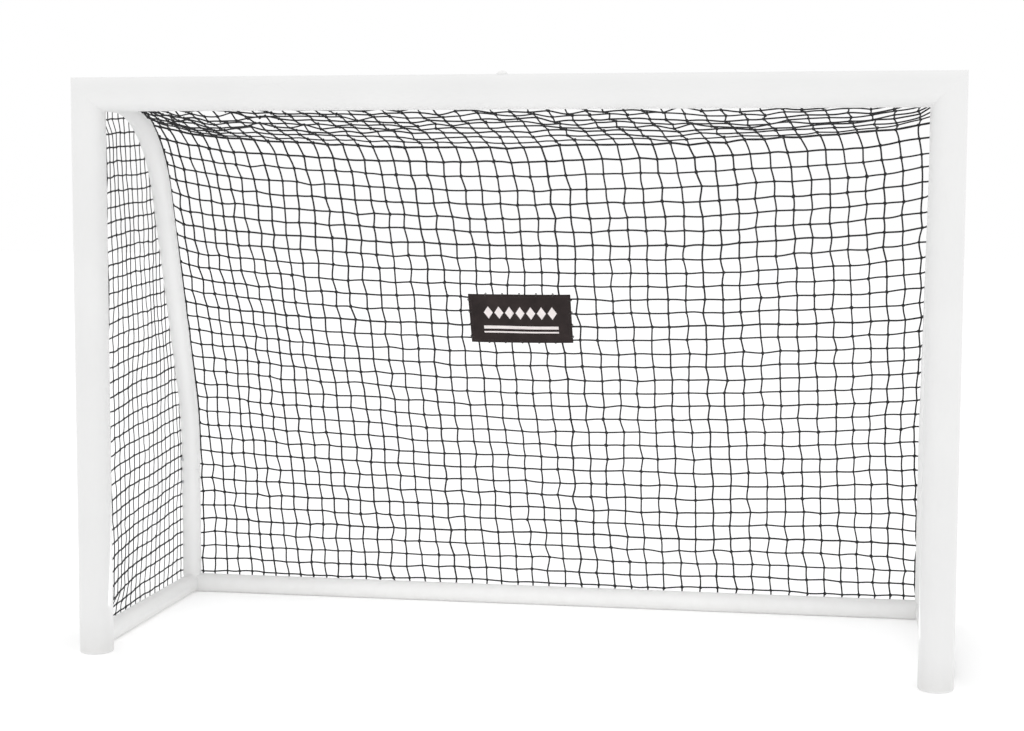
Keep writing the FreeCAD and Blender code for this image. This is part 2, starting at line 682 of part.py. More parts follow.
def screw_shape(at, outward, shank_radius, length, head_radius, head_height, tube_radius):
    # pan head screw standing on a round tube; at is on the tube axis
    slot_width, slot_depth, tool_height = 0.9, 0.9, 1.0
    slot_length = head_radius * 1.1
    shank = Part.makeCylinder(shank_radius, length, at + outward * (tube_radius - length), outward)
    head = Part.makeCylinder(head_radius, head_height, at + outward * tube_radius, outward)
    rim = [edge for edge in head.Edges if edge.Curve.TypeId == "Part::GeomCircle"
           and (edge.Curve.Center - at).dot(outward) > tube_radius + head_height / 2]
    head = head.makeFillet(head_height * 0.6, rim)
    slots = []
    for x, y in ((slot_length, slot_width), (slot_width, slot_length)):
        slot = Part.makeBox(x, y, tool_height)
        slot.translate(Vector(-x / 2, -y / 2, 0))
        slots.append(slot)
    cross = slots[0].fuse(slots[1])
    cross.Placement = FreeCAD.Placement(at + outward * (tube_radius + head_height - slot_depth),
                                        FreeCAD.Rotation(UP, outward))
    return shank.fuse(head).cut(cross).removeSplitter()


def make_screws():
    front_points = []
    rear_joints = []
    for sign, _ in SIDES:
        front_points += [Vector(sign * dim.post_x, dim.post_y, POST_SCREW_Z),
                         Vector(sign * CROSS_SCREW_X, dim.post_y, dim.cross_z)]
        rear_joints += [low_joint(sign), high_joint(sign), upright_joint(sign, STUB_SCREW_RISE),
                        upright_joint(sign, BOW_SCREW_RISE), rear_joint(sign)]
    front_points.append(Vector(SLEEVE_SCREW_X, dim.post_y, dim.cross_z))
    group("front_frame_screws",
          [screw_shape(point, REARWARD, **FRONT_SCREW) for point in front_points])
    group("rear_frame_screws", [screw_shape(*joint, **REAR_SCREW) for joint in rear_joints])


# ---------------------------------------------------------------- net clips and edge cords
CORD_OUT = 5.0                      # cord centre, out from the tube surface
FRONT_CLIP = dict(tube_radius=dim.front_radius, pin_length=5.0, reach=8.5)
REAR_CLIP = dict(tube_radius=dim.rear_radius, pin_length=4.0, reach=7.5)


def clip_shape(at, outward, along, tube_radius, pin_length, reach):
    # coped base, a pin pushed into the tube and a hole for the edge cord;
    # modelled with X outwards and Y along the tube, then set in place
    sunk, length, width = 6, 12, 8
    block = Part.makeBox(reach + sunk, length, width,
                         Vector(tube_radius - sunk, -length / 2, -width / 2))
    outer_edges = [edge for edge in block.Edges
                   if abs(edge.BoundBox.XMin - (tube_radius + reach)) < 1e-6]
    block = block.makeFillet(1.5, outer_edges)
    block = block.cut(Part.makeCylinder(tube_radius, 60, Vector(0, -30, 0), REARWARD))
    pin = Part.makeCylinder(dim.clip_pin, pin_length + 2, Vector(tube_radius - pin_length, 0, 0),
                            Vector(1, 0, 0))
    hole = Part.makeCylinder(dim.cord_hole, 30, Vector(tube_radius + CORD_OUT, -15, 0), REARWARD)
    clip = block.fuse(pin).cut(hole).removeSplitter()
    third = outward.cross(along)
    clip.Placement = FreeCAD.Placement(FreeCAD.Matrix(
        outward.x, along.x, third.x, at.x,
        outward.y, along.y, third.y, at.y,
        outward.z, along.z, third.z, at.z,
        0, 0, 0, 1))
    return clip


def make_net_clips():
    right = Vector(1, 0, 0)
    front = [clip_shape(Vector(x, dim.post_y, dim.cross_z), REARWARD, right, **FRONT_CLIP)
             for x in CROSS_CLIPS]
    rear = []
    for sign, _ in SIDES:
        for z in POST_CLIPS:
            front.append(clip_shape(Vector(sign * dim.post_x, dim.post_y, z), REARWARD, UP,
                                    **FRONT_CLIP))
        for y in GROUND_CLIPS_Y:
            rear.append(clip_shape(*ground_clip_seat(sign, y), REARWARD, **REAR_CLIP))
        for x in REAR_CLIPS_X:
            rear.append(clip_shape(*rear_clip_seat(sign, x), right, **REAR_CLIP))
    group("net_clips_front", front)
    group("net_clips_rear", rear)


def cord(points):
    # straight runs with a ball at each bend
    radius = dim.cord_radius
    parts = [Part.makeCylinder(radius, (end - start).Length, start, end - start)
             for start, end in zip(points, points[1:])]
    parts += [Part.makeSphere(radius, point) for point in points[1:-1]]
    if len(parts) == 1:
        return parts[0]
    return parts[0].multiFuse(parts[1:]).removeSplitter()


def make_edge_cords():
    # behind each post, behind the crossbar, and one round the three ground bars
    y = dim.post_y + dim.front_radius + CORD_OUT
    cords = [cord([Vector(sign * dim.post_x, y, 60), Vector(sign * dim.post_x, y, 1105)])
             for sign, _ in SIDES]
    cords.append(cord([Vector(-842, y, dim.cross_z), Vector(842, y, dim.cross_z)]))
    out = dim.rear_radius + CORD_OUT
    side_x, rear_y = dim.bow_x + out * CLIP_OUT, dim.rear_y + out * CLIP_OUT
    z = dim.ground_z - out * CLIP_DROP
    cords.append(cord([Vector(-side_x, -205, z), Vector(-side_x, rear_y, z),
                       Vector(side_x, rear_y, z), Vector(side_x, -205, z)]))
    group("net_edge_cord", cords)


# ---------------------------------------------------------------- net panels
NET_OFFSET = dim.rear_radius + dim.net_gap      # from the bow centre line
FOLD_Y = dim.post_y + 260.0                     # fold between roof and back, at the bows
MID_Y, MID_Z = dim.post_y + 252.0, 1066.0       # the fold in the middle of the goal
SKIRT_Z, BOTTOM_Z = 42.0, 16.0
HOLD_X = dim.bow_x - dim.rear_radius - 3.0      # the net lies on the bows from here outwards
BULGE_HEIGHT = 1100.0                           # sets how fast the back's bulge fades inwards
ROOF_START_Y = dim.post_y + dim.front_radius + 10.5
SIDE_OFFSET = 12.0                              # of the side panels, from the bow centre line
# Stations across the net, from the middle to its edge, closer together towards the bows
HALF_STATIONS = [0.0, 110.0, 220.0, 330.0, 430.0, 525.0, 610.0, 685.0, 745.0, 790.0, 822.0,
                 845.0, 864.0, 884.0]
STATIONS = [-x for x in reversed(HALF_STATIONS[1:])] + HALF_STATIONS
EDGE_X = HALF_STATIONS[-1]

BACK_PROFILE = bow_points(NET_OFFSET, FOLD_Y, SKIRT_Z, 60.0)
FOLD_Z = BACK_PROFILE[0][1]
run = [0.0]
for (y0, z0), (y1, z1) in zip(BACK_PROFILE, BACK_PROFILE[1:]):
    run.append(run[-1] + math.hypot(y1 - y0, z1 - z0))
BACK_SHARES = [length / run[-1] for length in run]
ROOF_PROFILE = bow_points(NET_OFFSET, ROOF_START_Y, SKIRT_Z, 12.0)


def sag(x):
    # 1 in the middle, none where the net lies on a bow
    across = min(1.0, abs(x) / HOLD_X)
    return 1.0 - 0.42 * across ** 2 - 0.58 * across ** 9


def bulge(x):
    # the full outline of the bows where the net lies on them, less towards the middle
    across = min(abs(x), HOLD_X)
    return math.cosh(math.pi * across / BULGE_HEIGHT) / math.cosh(math.pi * HOLD_X / BULGE_HEIGHT)


def fold_point(x):
    return Vector(x, FOLD_Y + (MID_Y - FOLD_Y) * sag(x), FOLD_Z + (MID_Z - FOLD_Z) * sag(x))


def over_bow(y):
    # height of the roof where it lies on a bow
    for (y0, z0), (y1, z1) in zip(ROOF_PROFILE, ROOF_PROFILE[1:]):
        if y0 <= y <= y1:
            return z0 + (z1 - z0) * (y - y0) / (y1 - y0)


def back_line(x):
    # (y, z) points down the inner skin of the back: a chord from the fold plus the bulge
    fold, amount = fold_point(x), bulge(x)
    (start_y, start_z), (end_y, end_z) = BACK_PROFILE[0], BACK_PROFILE[-1]
    line = []
    for (y, z), share in zip(BACK_PROFILE, BACK_SHARES):
        bulge_y = y - (start_y + (end_y - start_y) * share)
        bulge_z = z - (start_z + (end_z - start_z) * share)
        line.append((fold.y + (end_y - fold.y) * share + bulge_y * amount,
                     fold.z + (end_z - fold.z) * share + bulge_z * amount))
    return line


def back_y(x, z):
    # inner skin of the back panel at height z
    line = back_line(x)
    for (y0, z0), (y1, z1) in zip(line, line[1:]):
        if (z0 - z) * (z1 - z) <= 0:
            return y0 + (y1 - y0) * (z0 - z) / (z0 - z1)


def sheet_solid(grid, thickness):
    # skin through a grid of points, and a second one that far away along the surface normal
    rows, columns = len(grid), len(grid[0])
    other = []
    for i in range(rows):
        row = []
        for j in range(columns):
            across = grid[min(i + 1, rows - 1)][j] - grid[max(i - 1, 0)][j]
            down = grid[i][min(j + 1, columns - 1)] - grid[i][max(j - 1, 0)]
            normal = across.cross(down)
            normal.normalize()
            row.append(grid[i][j] + normal * thickness)
        other.append(row)
    skins = []
    borders = []
    for points in (grid, other):
        skin = Part.BSplineSurface()
        skin.interpolate(points)
        u0, u1, v0, v1 = skin.bounds()
        skins.append(skin.toShape())
        borders.append([skin.uIso(u0), skin.uIso(u1), skin.vIso(v0), skin.vIso(v1)])
    rims = [Part.makeRuledSurface(one.toShape(), two.toShape()) for one, two in zip(*borders)]
    shell = Part.Shell(skins + rims)
    shell.sewShape()
    solid = Part.Solid(shell)
    if solid.Volume < 0:
        solid.reverse()
    return solid


def make_net_sheet(label, grid, thickness):
    keep(label, feature(label, sheet_solid(grid, thickness)))


def make_net_roof():
    # from the crossbar to the fold
    grid = []
    for x in STATIONS:
        slack = sag(x)
        length = fold_point(x).y - 4.0 - ROOF_START_Y
        column = []
        for j in range(7):
            share = j / 6.0
            y = ROOF_START_Y + length * share
            hanging = dim.cross_z + (MID_Z - dim.cross_z) * share ** 1.25
            column.append(Vector(x, y, over_bow(y) * (1 - slack) + hanging * slack))
        grid.append(column)
    make_net_sheet("net_roof", grid, dim.net_sheet)


def make_net_back():
    # from the fold over the bows and down behind the rear bar
    grid = []
    for x in STATIONS:
        slack = sag(x)
        column = [Vector(x, y, z) for y, z in back_line(x)]
        # the top edge is moved rearwards and down, clear of the fold
        column[0] += Vector(0, 1.5 * slack + 4.8 * (1 - slack), -4.0 * slack - 1.3 * (1 - slack))
        column.append(Vector(x, BACK_PROFILE[-1][0], BOTTOM_Z))
        grid.append(column)
    make_net_sheet("net_back", grid, dim.net_sheet)


def make_net_side(sign, side):
    # flat panel just outside the bow and the ground bar
    label = "net_side_" + side
    x = sign * (dim.bow_x + dim.rear_radius + 1.5)
    front_y = dim.post_y + dim.front_radius + 12.0
    outline = [(front_y, BOTTOM_Z)] + bow_points(SIDE_OFFSET, front_y, BOTTOM_Z, 30.0)
    keep(label, prism(label, [Vector(x, y, z) for y, z in outline],
                      Vector(sign * dim.net_sheet, 0, 0)))


def swept_cord(wire, start, tangent):
    section = Part.Wire(Part.makeCircle(dim.cord_radius, start, tangent))
    return wire.makePipeShell([section], True, False)


def make_seam_cords():
    # one across at the fold and one round each bow
    fold = [fold_point(-EDGE_X + 2 * EDGE_X * i / 40.0) + Vector(0, 0.5, 0.5) for i in range(41)]
    curve = Part.BSplineCurve()
    curve.interpolate(fold)
    seams = [swept_cord(Part.Wire(curve.toShape()), fold[0], fold[1] - fold[0])]
    offset = 27.0 * DIAGONAL        # outwards from the bow centre line, both in X and in its plane
    for sign, _ in SIDES:
        x = sign * (dim.bow_x + offset)
        bends = [Vector(x, y, z) for y, z in bow_curve(offset)]
        start = Vector(x, dim.post_y + dim.front_radius + 14.0, bends[0].z)
        end = Vector(x, bends[-1].y, 40.0)
        wire = Part.Wire([edge.toShape() for edge in bow_edges([start] + bends + [end])])
        seams.append(swept_cord(wire, start, REARWARD))
    group("net_seam_cords", seams)


def make_net_badge():
    # plain cloth badge, following the back panel just in front of its inner skin
    width, height, thickness = 229.0, 108.0, 1.2
    centre_x, centre_z, forward = -30.0, 691.0, 6.0
    grid = []
    for i in range(5):
        x = centre_x - width / 2 + width * i / 4.0
        heights = [centre_z + height / 2 - height * j / 3.0 for j in range(4)]
        grid.append([Vector(x, back_y(x, z) - forward, z) for z in heights])
    make_net_sheet("net_badge", grid, thickness)


# ---------------------------------------------------------------- build
for make in (make_post, make_crossbar, make_foot, make_corner_connector):
    for sign, side in SIDES:
        make(sign, side)
make_crossbar_sleeve()
make_lock_button()
make_lock_spring()
for sign, side in SIDES:
    for make in (make_spigots, make_ground_bar, make_rear_bar, make_corner_stub,
                 make_bow_sleeve):
        make(sign, side)
make_rear_bar_sleeve()
for sign, side in SIDES:
    make_bow(sign, side)
make_screws()
make_net_clips()
make_edge_cords()
make_net_roof()
make_net_back()
for sign, side in SIDES:
    make_net_side(sign, side)
make_seam_cords()
make_net_badge()

# ---------------------------------------------------------------- check and write
doc.recompute()
bad = []
for obj in doc.Objects:
    if any(word in obj.State for word in ("Invalid", "Error")):
        bad.append(obj.Name + " " + str(obj.State))
for label, obj in pieces.items():
    shape = obj.Shape
    if shape.isNull() or not shape.isValid() or not shape.Solids or shape.Volume <= 0:
        bad.append(label + " shape")
if bad:
    raise RuntimeError("; ".join(bad))
os.makedirs("parts", exist_ok=True)
for label, obj in pieces.items():
    obj.Shape.exportStep("parts/%s.step" % label)
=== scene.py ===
# A football goal with a knotted net and a cloth badge, in a pale studio.
# The goal mouth faces -Y, the ground is z = 0 and the goal is centred on x = 0; left is -X.
# Two bows run back from the top of the posts and down to a bar on the ground.
# Shapes are worked out in millimetres and turned into metres when a mesh is made.
import math
import json

import bpy
import numpy as np
from mathutils import Matrix, Vector


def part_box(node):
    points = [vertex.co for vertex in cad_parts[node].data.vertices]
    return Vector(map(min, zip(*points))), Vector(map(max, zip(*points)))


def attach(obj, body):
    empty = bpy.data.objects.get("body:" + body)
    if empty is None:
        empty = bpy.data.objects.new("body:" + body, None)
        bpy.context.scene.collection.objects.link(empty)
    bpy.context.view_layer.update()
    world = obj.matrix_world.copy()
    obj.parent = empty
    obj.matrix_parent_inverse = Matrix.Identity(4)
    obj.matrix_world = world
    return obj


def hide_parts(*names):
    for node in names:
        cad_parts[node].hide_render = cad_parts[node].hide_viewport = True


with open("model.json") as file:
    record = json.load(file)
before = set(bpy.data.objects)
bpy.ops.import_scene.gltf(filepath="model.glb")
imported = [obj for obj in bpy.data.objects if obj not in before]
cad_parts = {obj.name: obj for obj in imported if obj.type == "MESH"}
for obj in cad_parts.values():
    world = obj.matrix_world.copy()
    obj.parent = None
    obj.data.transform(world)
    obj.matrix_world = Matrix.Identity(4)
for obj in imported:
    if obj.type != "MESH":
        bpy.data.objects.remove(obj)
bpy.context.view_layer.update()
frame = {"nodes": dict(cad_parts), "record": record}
MM = 0.001


# ------------------------------------------------------------ sizes of the frame
def span(node):
    """Lowest and highest corner of a CAD piece, in mm."""
    low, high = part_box(node)
    return np.array(low) * 1000.0, np.array(high) * 1000.0


low, high = span("post_left")
POST_X, POST_Y = -(low[0] + high[0]) / 2, (low[1] + high[1]) / 2
POST_R = (high[1] - low[1]) / 2         # posts and crossbar
low, high = span("crossbar_left")
CROSSBAR_Z = (low[2] + high[2]) / 2
low, high = span("corner_stub_left")
BOW_X, REAR_Y = -(low[0] + high[0]) / 2, (low[1] + high[1]) / 2
TUBE_R = (high[0] - low[0]) / 2         # bows and ground bars
low, high = span("rear_bar_left")
BAR_Z = (low[2] + high[2]) / 2
low, high = span("bow_left")
BOW_TOP = high[2] - TUBE_R              # axis of the bow's level run

# Bends of the bow's axis
BEND_BEHIND_POST = 181.04               # from the post to the start of the upper bend
TOP_BEND_R, REAR_BEND_R = 280.0, 500.0
SLOPE_NORMAL = math.radians(90.0 - 18.2)  # the sloping run's normal, measured from vertical

# Twine radii
ROOF_CORD = 1.7
BACK_CORD = 1.95
SIDE_ROW_CORD = 1.8
SIDE_UPRIGHT_CORD = 1.1
EDGE_CORD = 1.55

# Lines that the net is tied to
CLEARANCE = TUBE_R + 1.6                # from a tube's axis to a cord lying on it
SEAM_OFF = CLEARANCE * math.sqrt(0.5)   # the seams lie at 45 degrees on the bows' outside
SEAM_X = BOW_X + SEAM_OFF
TIE_Y, TIE_Z = POST_Y + POST_R + 5.0, CROSSBAR_Z    # cords behind the posts and the crossbar
LOW_REACH, LOW_ANGLE = 27.0, math.radians(35)       # edge cord, out from and below the bars
LOW_X = BOW_X + LOW_REACH * math.cos(LOW_ANGLE)
LOW_Y = REAR_Y + LOW_REACH * math.cos(LOW_ANGLE)
LOW_Z = BAR_Z - LOW_REACH * math.sin(LOW_ANGLE)


def clamp01(value):
    return min(1.0, max(0.0, value))


# ------------------------------------------------------------ the bow's outline
def bow_outline(off, y_start, z_end, step=4.0):
    """(y, z) points along the bow, shifted outwards by off, from y_start down to z_end."""
    normal_y, normal_z = math.sin(SLOPE_NORMAL), math.cos(SLOPE_NORMAL)
    top_r, rear_r = TOP_BEND_R + off, REAR_BEND_R + off
    top_y, top_z = POST_Y + BEND_BEHIND_POST, BOW_TOP - TOP_BEND_R
    rear_y = REAR_Y - REAR_BEND_R
    rear_z = (top_y * normal_y + top_z * normal_z + TOP_BEND_R - REAR_BEND_R
              - rear_y * normal_y) / normal_z

    def line(start, end):
        length = math.hypot(end[0] - start[0], end[1] - start[1])
        n = max(1, int(round(length / step)))
        return [(start[0] + (end[0] - start[0]) * i / n,
                 start[1] + (end[1] - start[1]) * i / n) for i in range(n)]

    def arc(centre_y, centre_z, radius, start, end):
        n = max(2, int(round(radius * (end - start) / step)))
        angles = [start + (end - start) * i / n for i in range(n)]
        return [(centre_y + radius * math.sin(a), centre_z + radius * math.cos(a))
                for a in angles]

    rear_end = (rear_y + rear_r, z_end)
    return np.array(
        line((y_start, top_z + top_r), (top_y, top_z + top_r))
        + arc(top_y, top_z, top_r, 0.0, SLOPE_NORMAL)
        + line((top_y + top_r * normal_y, top_z + top_r * normal_z),
               (rear_y + rear_r * normal_y, rear_z + rear_r * normal_z))
        + arc(rear_y, rear_z, rear_r, SLOPE_NORMAL, math.pi / 2)
        + line((rear_y + rear_r, rear_z), rear_end)
        + [rear_end])


class Curve:
    """A polyline measured by its own length, 0 to 1."""

    def __init__(self, points):
        self.points = np.asarray(points, float)
        steps = np.linalg.norm(np.diff(self.points, axis=0), axis=1)
        self.along = np.concatenate([[0], np.cumsum(steps)])
        self.length = self.along[-1]

    def at(self, t):
        along = np.asarray(t, float) * self.length
        return np.stack([np.interp(along, self.along, column) for column in self.points.T], -1)


# ------------------------------------------------------------ keeping cords outside the tubes
BOW_AXIS = bow_outline(0.0, POST_Y + 5.0, BAR_Z, 6.0)

# A point on the axis, index of the axis direction, radius, start and end along the axis
STRAIGHT_TUBES = (
    ((0, REAR_Y, BAR_Z), 0, TUBE_R, -BOW_X, BOW_X),
    ((-BOW_X, 0, BAR_Z), 1, TUBE_R, POST_Y, REAR_Y),
    ((BOW_X, 0, BAR_Z), 1, TUBE_R, POST_Y, REAR_Y),
    ((0, POST_Y, CROSSBAR_Z), 0, POST_R, -POST_X - POST_R, POST_X + POST_R),
    ((-POST_X, POST_Y, 0), 2, POST_R, 0, CROSSBAR_Z + POST_R),
    ((POST_X, POST_Y, 0), 2, POST_R, 0, CROSSBAR_Z + POST_R),
)


def nearest_on_bow(yz):
    """Nearest point of the bow's axis to each (y, z) point."""
    start = BOW_AXIS[:-1]
    run = BOW_AXIS[1:] - start
    t = ((yz[:, None, :] - start[None]) * run[None]).sum(2) / (run ** 2).sum(1)[None]
    feet = start[None] + np.clip(t, 0, 1)[..., None] * run[None]
    nearest = ((yz[:, None, :] - feet) ** 2).sum(2).argmin(1)
    return feet[np.arange(len(yz)), nearest]


def outside_tubes(points, radius):
    """Push the points of a cord of this radius out of every tube of the frame."""
    points = points.copy()
    for bow_x in (-BOW_X, BOW_X):
        near = np.abs(points[:, 0] - bow_x) < TUBE_R + radius + 4
        if near.any():
            close = points[near]
            feet = nearest_on_bow(close[:, 1:])
            away = np.column_stack([close[:, 0] - bow_x, close[:, 1:] - feet])
            distance = np.linalg.norm(away, axis=1)
            hit = distance < TUBE_R + radius
            away[hit] *= ((TUBE_R + radius) / np.maximum(distance[hit], 1e-6))[:, None]
            points[near] = np.column_stack([bow_x + away[:, 0], feet + away[:, 1:]])
    for on_axis, axis, tube_r, start, end in STRAIGHT_TUBES:
        across = [k for k in range(3) if k != axis]
        centre = np.array([on_axis[k] for k in across])
        away = points[:, across] - centre
        distance = np.linalg.norm(away, axis=1)
        hit = (distance < tube_r + radius) & (points[:, axis] > start) & (points[:, axis] < end)
        if hit.any():
            away[hit] *= ((tube_r + radius) / np.maximum(distance[hit], 1e-6))[:, None]
            points[np.ix_(hit, across)] = (away + centre)[hit]
    return points


# ------------------------------------------------------------ mesh helpers
def link_object(name, mesh):
    ob = bpy.data.objects.new(name, mesh)
    bpy.context.scene.collection.objects.link(ob)
    return ob


class MeshBag:
    """Collects tubes and knots into one mesh.

    The UV map has u along the cord in mm and v round it. Faces have four corners;
    a triangle has -1 as its last.
    """

    def __init__(self):
        self.verts, self.faces, self.uvs = [], [], []
        self.count = 0

    def add(self, verts, faces, uvs):
        self.verts.append(verts)
        self.faces.append(faces)
        self.uvs.append(uvs)
        self.count += len(verts)

    def tube(self, points, radius, sides, phase=0.0, u_start=0.0):
        """A round cord along the points, with a blunt point at each end."""
        points = np.asarray(points, float)
        n = len(points)
        tangent = np.gradient(points, axis=0)
        tangent /= np.maximum(np.linalg.norm(tangent, axis=1), 1e-9)[:, None]
        across = np.array([0.0, 0.0, 1.0])
        if abs(tangent[0] @ across) > 0.8:
            across = np.array([0.0, 1.0, 0.0])
        # the normal is carried along the cord, so that the tube doesn't twist
        normal = np.zeros_like(points)
        for i in range(n):
            across = across - tangent[i] * (across @ tangent[i])
            across /= max(np.linalg.norm(across), 1e-9)
            normal[i] = across
        binormal = np.cross(tangent, normal)
        angle = np.arange(sides) * 2 * math.pi / sides + phase
        rings = (points[:, None, :]
                 + radius * (np.cos(angle)[None, :, None] * normal[:, None, :]
                             + np.sin(angle)[None, :, None] * binormal[:, None, :]))
        steps = np.linalg.norm(np.diff(points, axis=0), axis=1)
        along = u_start + np.concatenate([[0], np.cumsum(steps)])
        base = self.count
        i = np.arange(n - 1)[:, None] * sides
        j = np.arange(sides)[None, :]
        j_next = (j + 1) % sides
        quads = np.stack([i + j, i + j_next, i + sides + j_next, i + sides + j], -1)
        u0, u1 = np.repeat(along[:-1], sides), np.repeat(along[1:], sides)
        v0 = np.tile(np.arange(sides), n - 1) / sides
        v1 = v0 + 1.0 / sides
        uvs = np.stack([np.stack(corner, -1)
                        for corner in ((u0, v0), (u0, v1), (u1, v1), (u1, v0))], 1)
        self.add(rings.reshape(-1, 3), quads.reshape(-1, 4) + base, uvs.reshape(-1, 2))

        around = np.arange(sides)
        for k, reach in ((0, -0.6), (n - 1, 0.6)):
            first = base + k * sides + around
            second = base + k * sides + (around + 1) % sides
            if k == 0:
                first, second = second, first
            tip = points[k] + tangent[k] * radius * reach
            triangles = np.stack([first, second, np.full(sides, self.count),
                                  np.full(sides, -1)], -1)
            self.add(tip[None], triangles, np.tile([[along[k], 0.0]], (sides * 3, 1)))

    def blob(self, centre, axes, shape):
        """A knot: a lumpy unit ball (verts, faces, uvs) stretched by the 3x3 matrix axes."""
        verts, faces, uvs = shape
        self.add(verts @ axes + centre, np.where(faces >= 0, faces + self.count, faces), uvs)

    def build(self, name):
        verts = np.concatenate(self.verts) * MM
        faces = np.concatenate(self.faces)
        uvs = np.concatenate(self.uvs)
        corners = np.where(faces[:, 3] < 0, 3, 4)
        starts = np.concatenate([[0], np.cumsum(corners)[:-1]])
        loops = faces.ravel()
        loops = loops[loops >= 0]
        mesh = bpy.data.meshes.new(name)
        mesh.vertices.add(len(verts))
        mesh.vertices.foreach_set("co", verts.astype(np.float32).ravel())
        mesh.loops.add(len(loops))
        mesh.loops.foreach_set("vertex_index", loops.astype(np.int32))
        mesh.polygons.add(len(faces))
        mesh.polygons.foreach_set("loop_start", starts.astype(np.int32))
        mesh.polygons.foreach_set("loop_total", corners.astype(np.int32))
        mesh.update(calc_edges=True)
        layer = mesh.uv_layers.new(name="cord")
        layer.data.foreach_set("uv", uvs.astype(np.float32).ravel())
        mesh.polygons.foreach_set("use_smooth", np.full(len(faces), True))
        mesh.validate()
        mesh.update()
        return link_object(name, mesh)


def unit_knot(seed):
    """A small ball with crossing humps, like two cords pulled round each other."""
    rings, seg = 5, 8
    verts = [[0, 0, 1.0]]
    for i in range(1, rings):
        polar = math.pi * i / rings
        for j in range(seg):
            a = 2 * math.pi * j / seg
            verts.append([math.sin(polar) * math.cos(a), math.sin(polar) * math.sin(a),
                          math.cos(polar)])
    verts.append([0, 0, -1.0])
    verts = np.array(verts)
    scatter = np.random.default_rng(seed).standard_normal(len(verts))
    angle = np.arctan2(verts[:, 1], verts[:, 0])
    hump = 1.0 + 0.13 * np.cos(2 * angle + 1.2 * verts[:, 2]) + 0.05 * scatter
    verts = verts * hump[:, None]

    faces = [[0, 1 + j, 1 + (j + 1) % seg, -1] for j in range(seg)]
    for i in range(rings - 2):
        ring = 1 + i * seg
        for j in range(seg):
            j_next = (j + 1) % seg
            faces.append([ring + j, ring + seg + j, ring + seg + j_next, ring + j_next])
    last = len(verts) - 1
    ring = 1 + (rings - 2) * seg
    faces += [[ring + j, last, ring + (j + 1) % seg, -1] for j in range(seg)]

    uvs = []
    for k in (k for face in faces for k in face if k >= 0):
        x, y, z = verts[k]
        uvs.append([4.0 * z + 2.0, (math.atan2(y, x) / (2 * math.pi)) % 1.0])
    return verts, np.array(faces), np.array(uvs)


KNOTS = [unit_knot(seed) for seed in range(6)]


def tie_knot(bag, centre, clearance, size, rng, turned=False):
    """A randomly chosen and turned knot; turned swaps its x and y."""
    centre = outside_tubes(centre[None], clearance)[0]
    a = rng.uniform(0, 2 * math.pi)
    c, s = math.cos(a), math.sin(a)
    about_y = np.array([[c, 0, s], [0, 1, 0], [-s, 0, c]])
    axes = np.diag([size * 1.15, size * 0.82, size]) @ about_y
    if turned:
        axes = axes[:, [1, 0, 2]]
    bag.blob(centre, axes, KNOTS[int(rng.integers(6))])


def smooth_noise(shape, passes, rng):
    """Random values blurred with their neighbours, with a standard deviation of 1."""
    a = rng.standard_normal(shape)
    for _ in range(passes):
        p = np.pad(a, 1, mode="edge")
        a = (p[1:-1, 1:-1] * 2 + p[:-2, 1:-1] + p[2:, 1:-1] + p[1:-1, :-2] + p[1:-1, 2:]) / 6.0
    return a / max(a.std(), 1e-9)


def slack_line(knots, per_span, wander, rng):
    """Points through the knots, between a spline and straight lines, with a small wander."""
    knots = np.asarray(knots, float)
    p = np.vstack([2 * knots[0] - knots[1], knots, 2 * knots[-1] - knots[-2]])
    t = np.arange(per_span) / per_span
    t2, t3 = t * t, t * t * t
    out = []
    for a, b, c, d in zip(p, p[1:], p[2:], p[3:]):
        spline = 0.5 * ((2 * b)[None] + np.outer(t, c - a)
                        + np.outer(t2, 2 * a - 5 * b + 4 * c - d)
                        + np.outer(t3, -a + 3 * b - 3 * c + d))
        straight = b[None] + np.outer(t, c - b)
        drift = np.sin(math.pi * t)[:, None] * rng.normal(0, wander, 3)[None]
        out.append(0.45 * spline + 0.55 * straight + drift)
    out.append(knots[-1:])
    return np.vstack(out)


def run_thread(bag, knots, radius, wander, rng):
    """One thread of the net through its knots."""
    line = outside_tubes(slack_line(knots, 4, wander, rng), radius)
    bag.tube(line, radius * (1 + 0.05 * rng.standard_normal()), 5,
             phase=rng.uniform(0, 6), u_start=rng.uniform(0, 40))


# ------------------------------------------------------------ the hanging net: roof and back
# Row 0 is at the crossbar, row ROOF is the fold and row ROOF + BACK is the lower edge.
ROOF, BACK = 13, 35
ROW_COUNT = ROOF + BACK + 1
LAST_FULL_ROW = 32              # back row that lies at LAST_FULL_Z
LAST_FULL_Z = 81.0
FOLD_MID_Y, FOLD_MID_Z = POST_Y + 252.0, 1064.0     # the fold at x = 0


def column_places():
    """The net is gathered towards the left bow, so the cells widen from left to right."""
    i = np.arange(48)
    step = 40.3 - 13.2 * np.exp(-i / 12.0) - 0.10 * np.maximum(0, i - 36)
    x = np.concatenate([[0], np.cumsum(step[:-1])])
    first, last = -BOW_X + 18.0, 836.0
    x = first + x * (last + BOW_X - 18.0) / x[-1]
    return np.concatenate([[-SEAM_X], x, [BOW_X - 5.0], [SEAM_X]])


COLUMN_X = column_places()
COLUMN_COUNT = len(COLUMN_X)


def bow_share(x):
    """Share of the bow's outline that the net still follows at x."""
    if abs(x) > BOW_X - 18.5:
        return 1.0
    widest, spread = BOW_X - 25.0, 1100.0
    return (math.cosh(math.pi * min(abs(x), widest) / spread)
            / math.cosh(math.pi * widest / spread))


def cord_height(x):
    """Distance of the cords from the bow's axis, in the bow's plane, at x."""
    return math.sqrt(CLEARANCE ** 2 - min(abs(abs(x) - BOW_X), CLEARANCE * 0.7) ** 2)


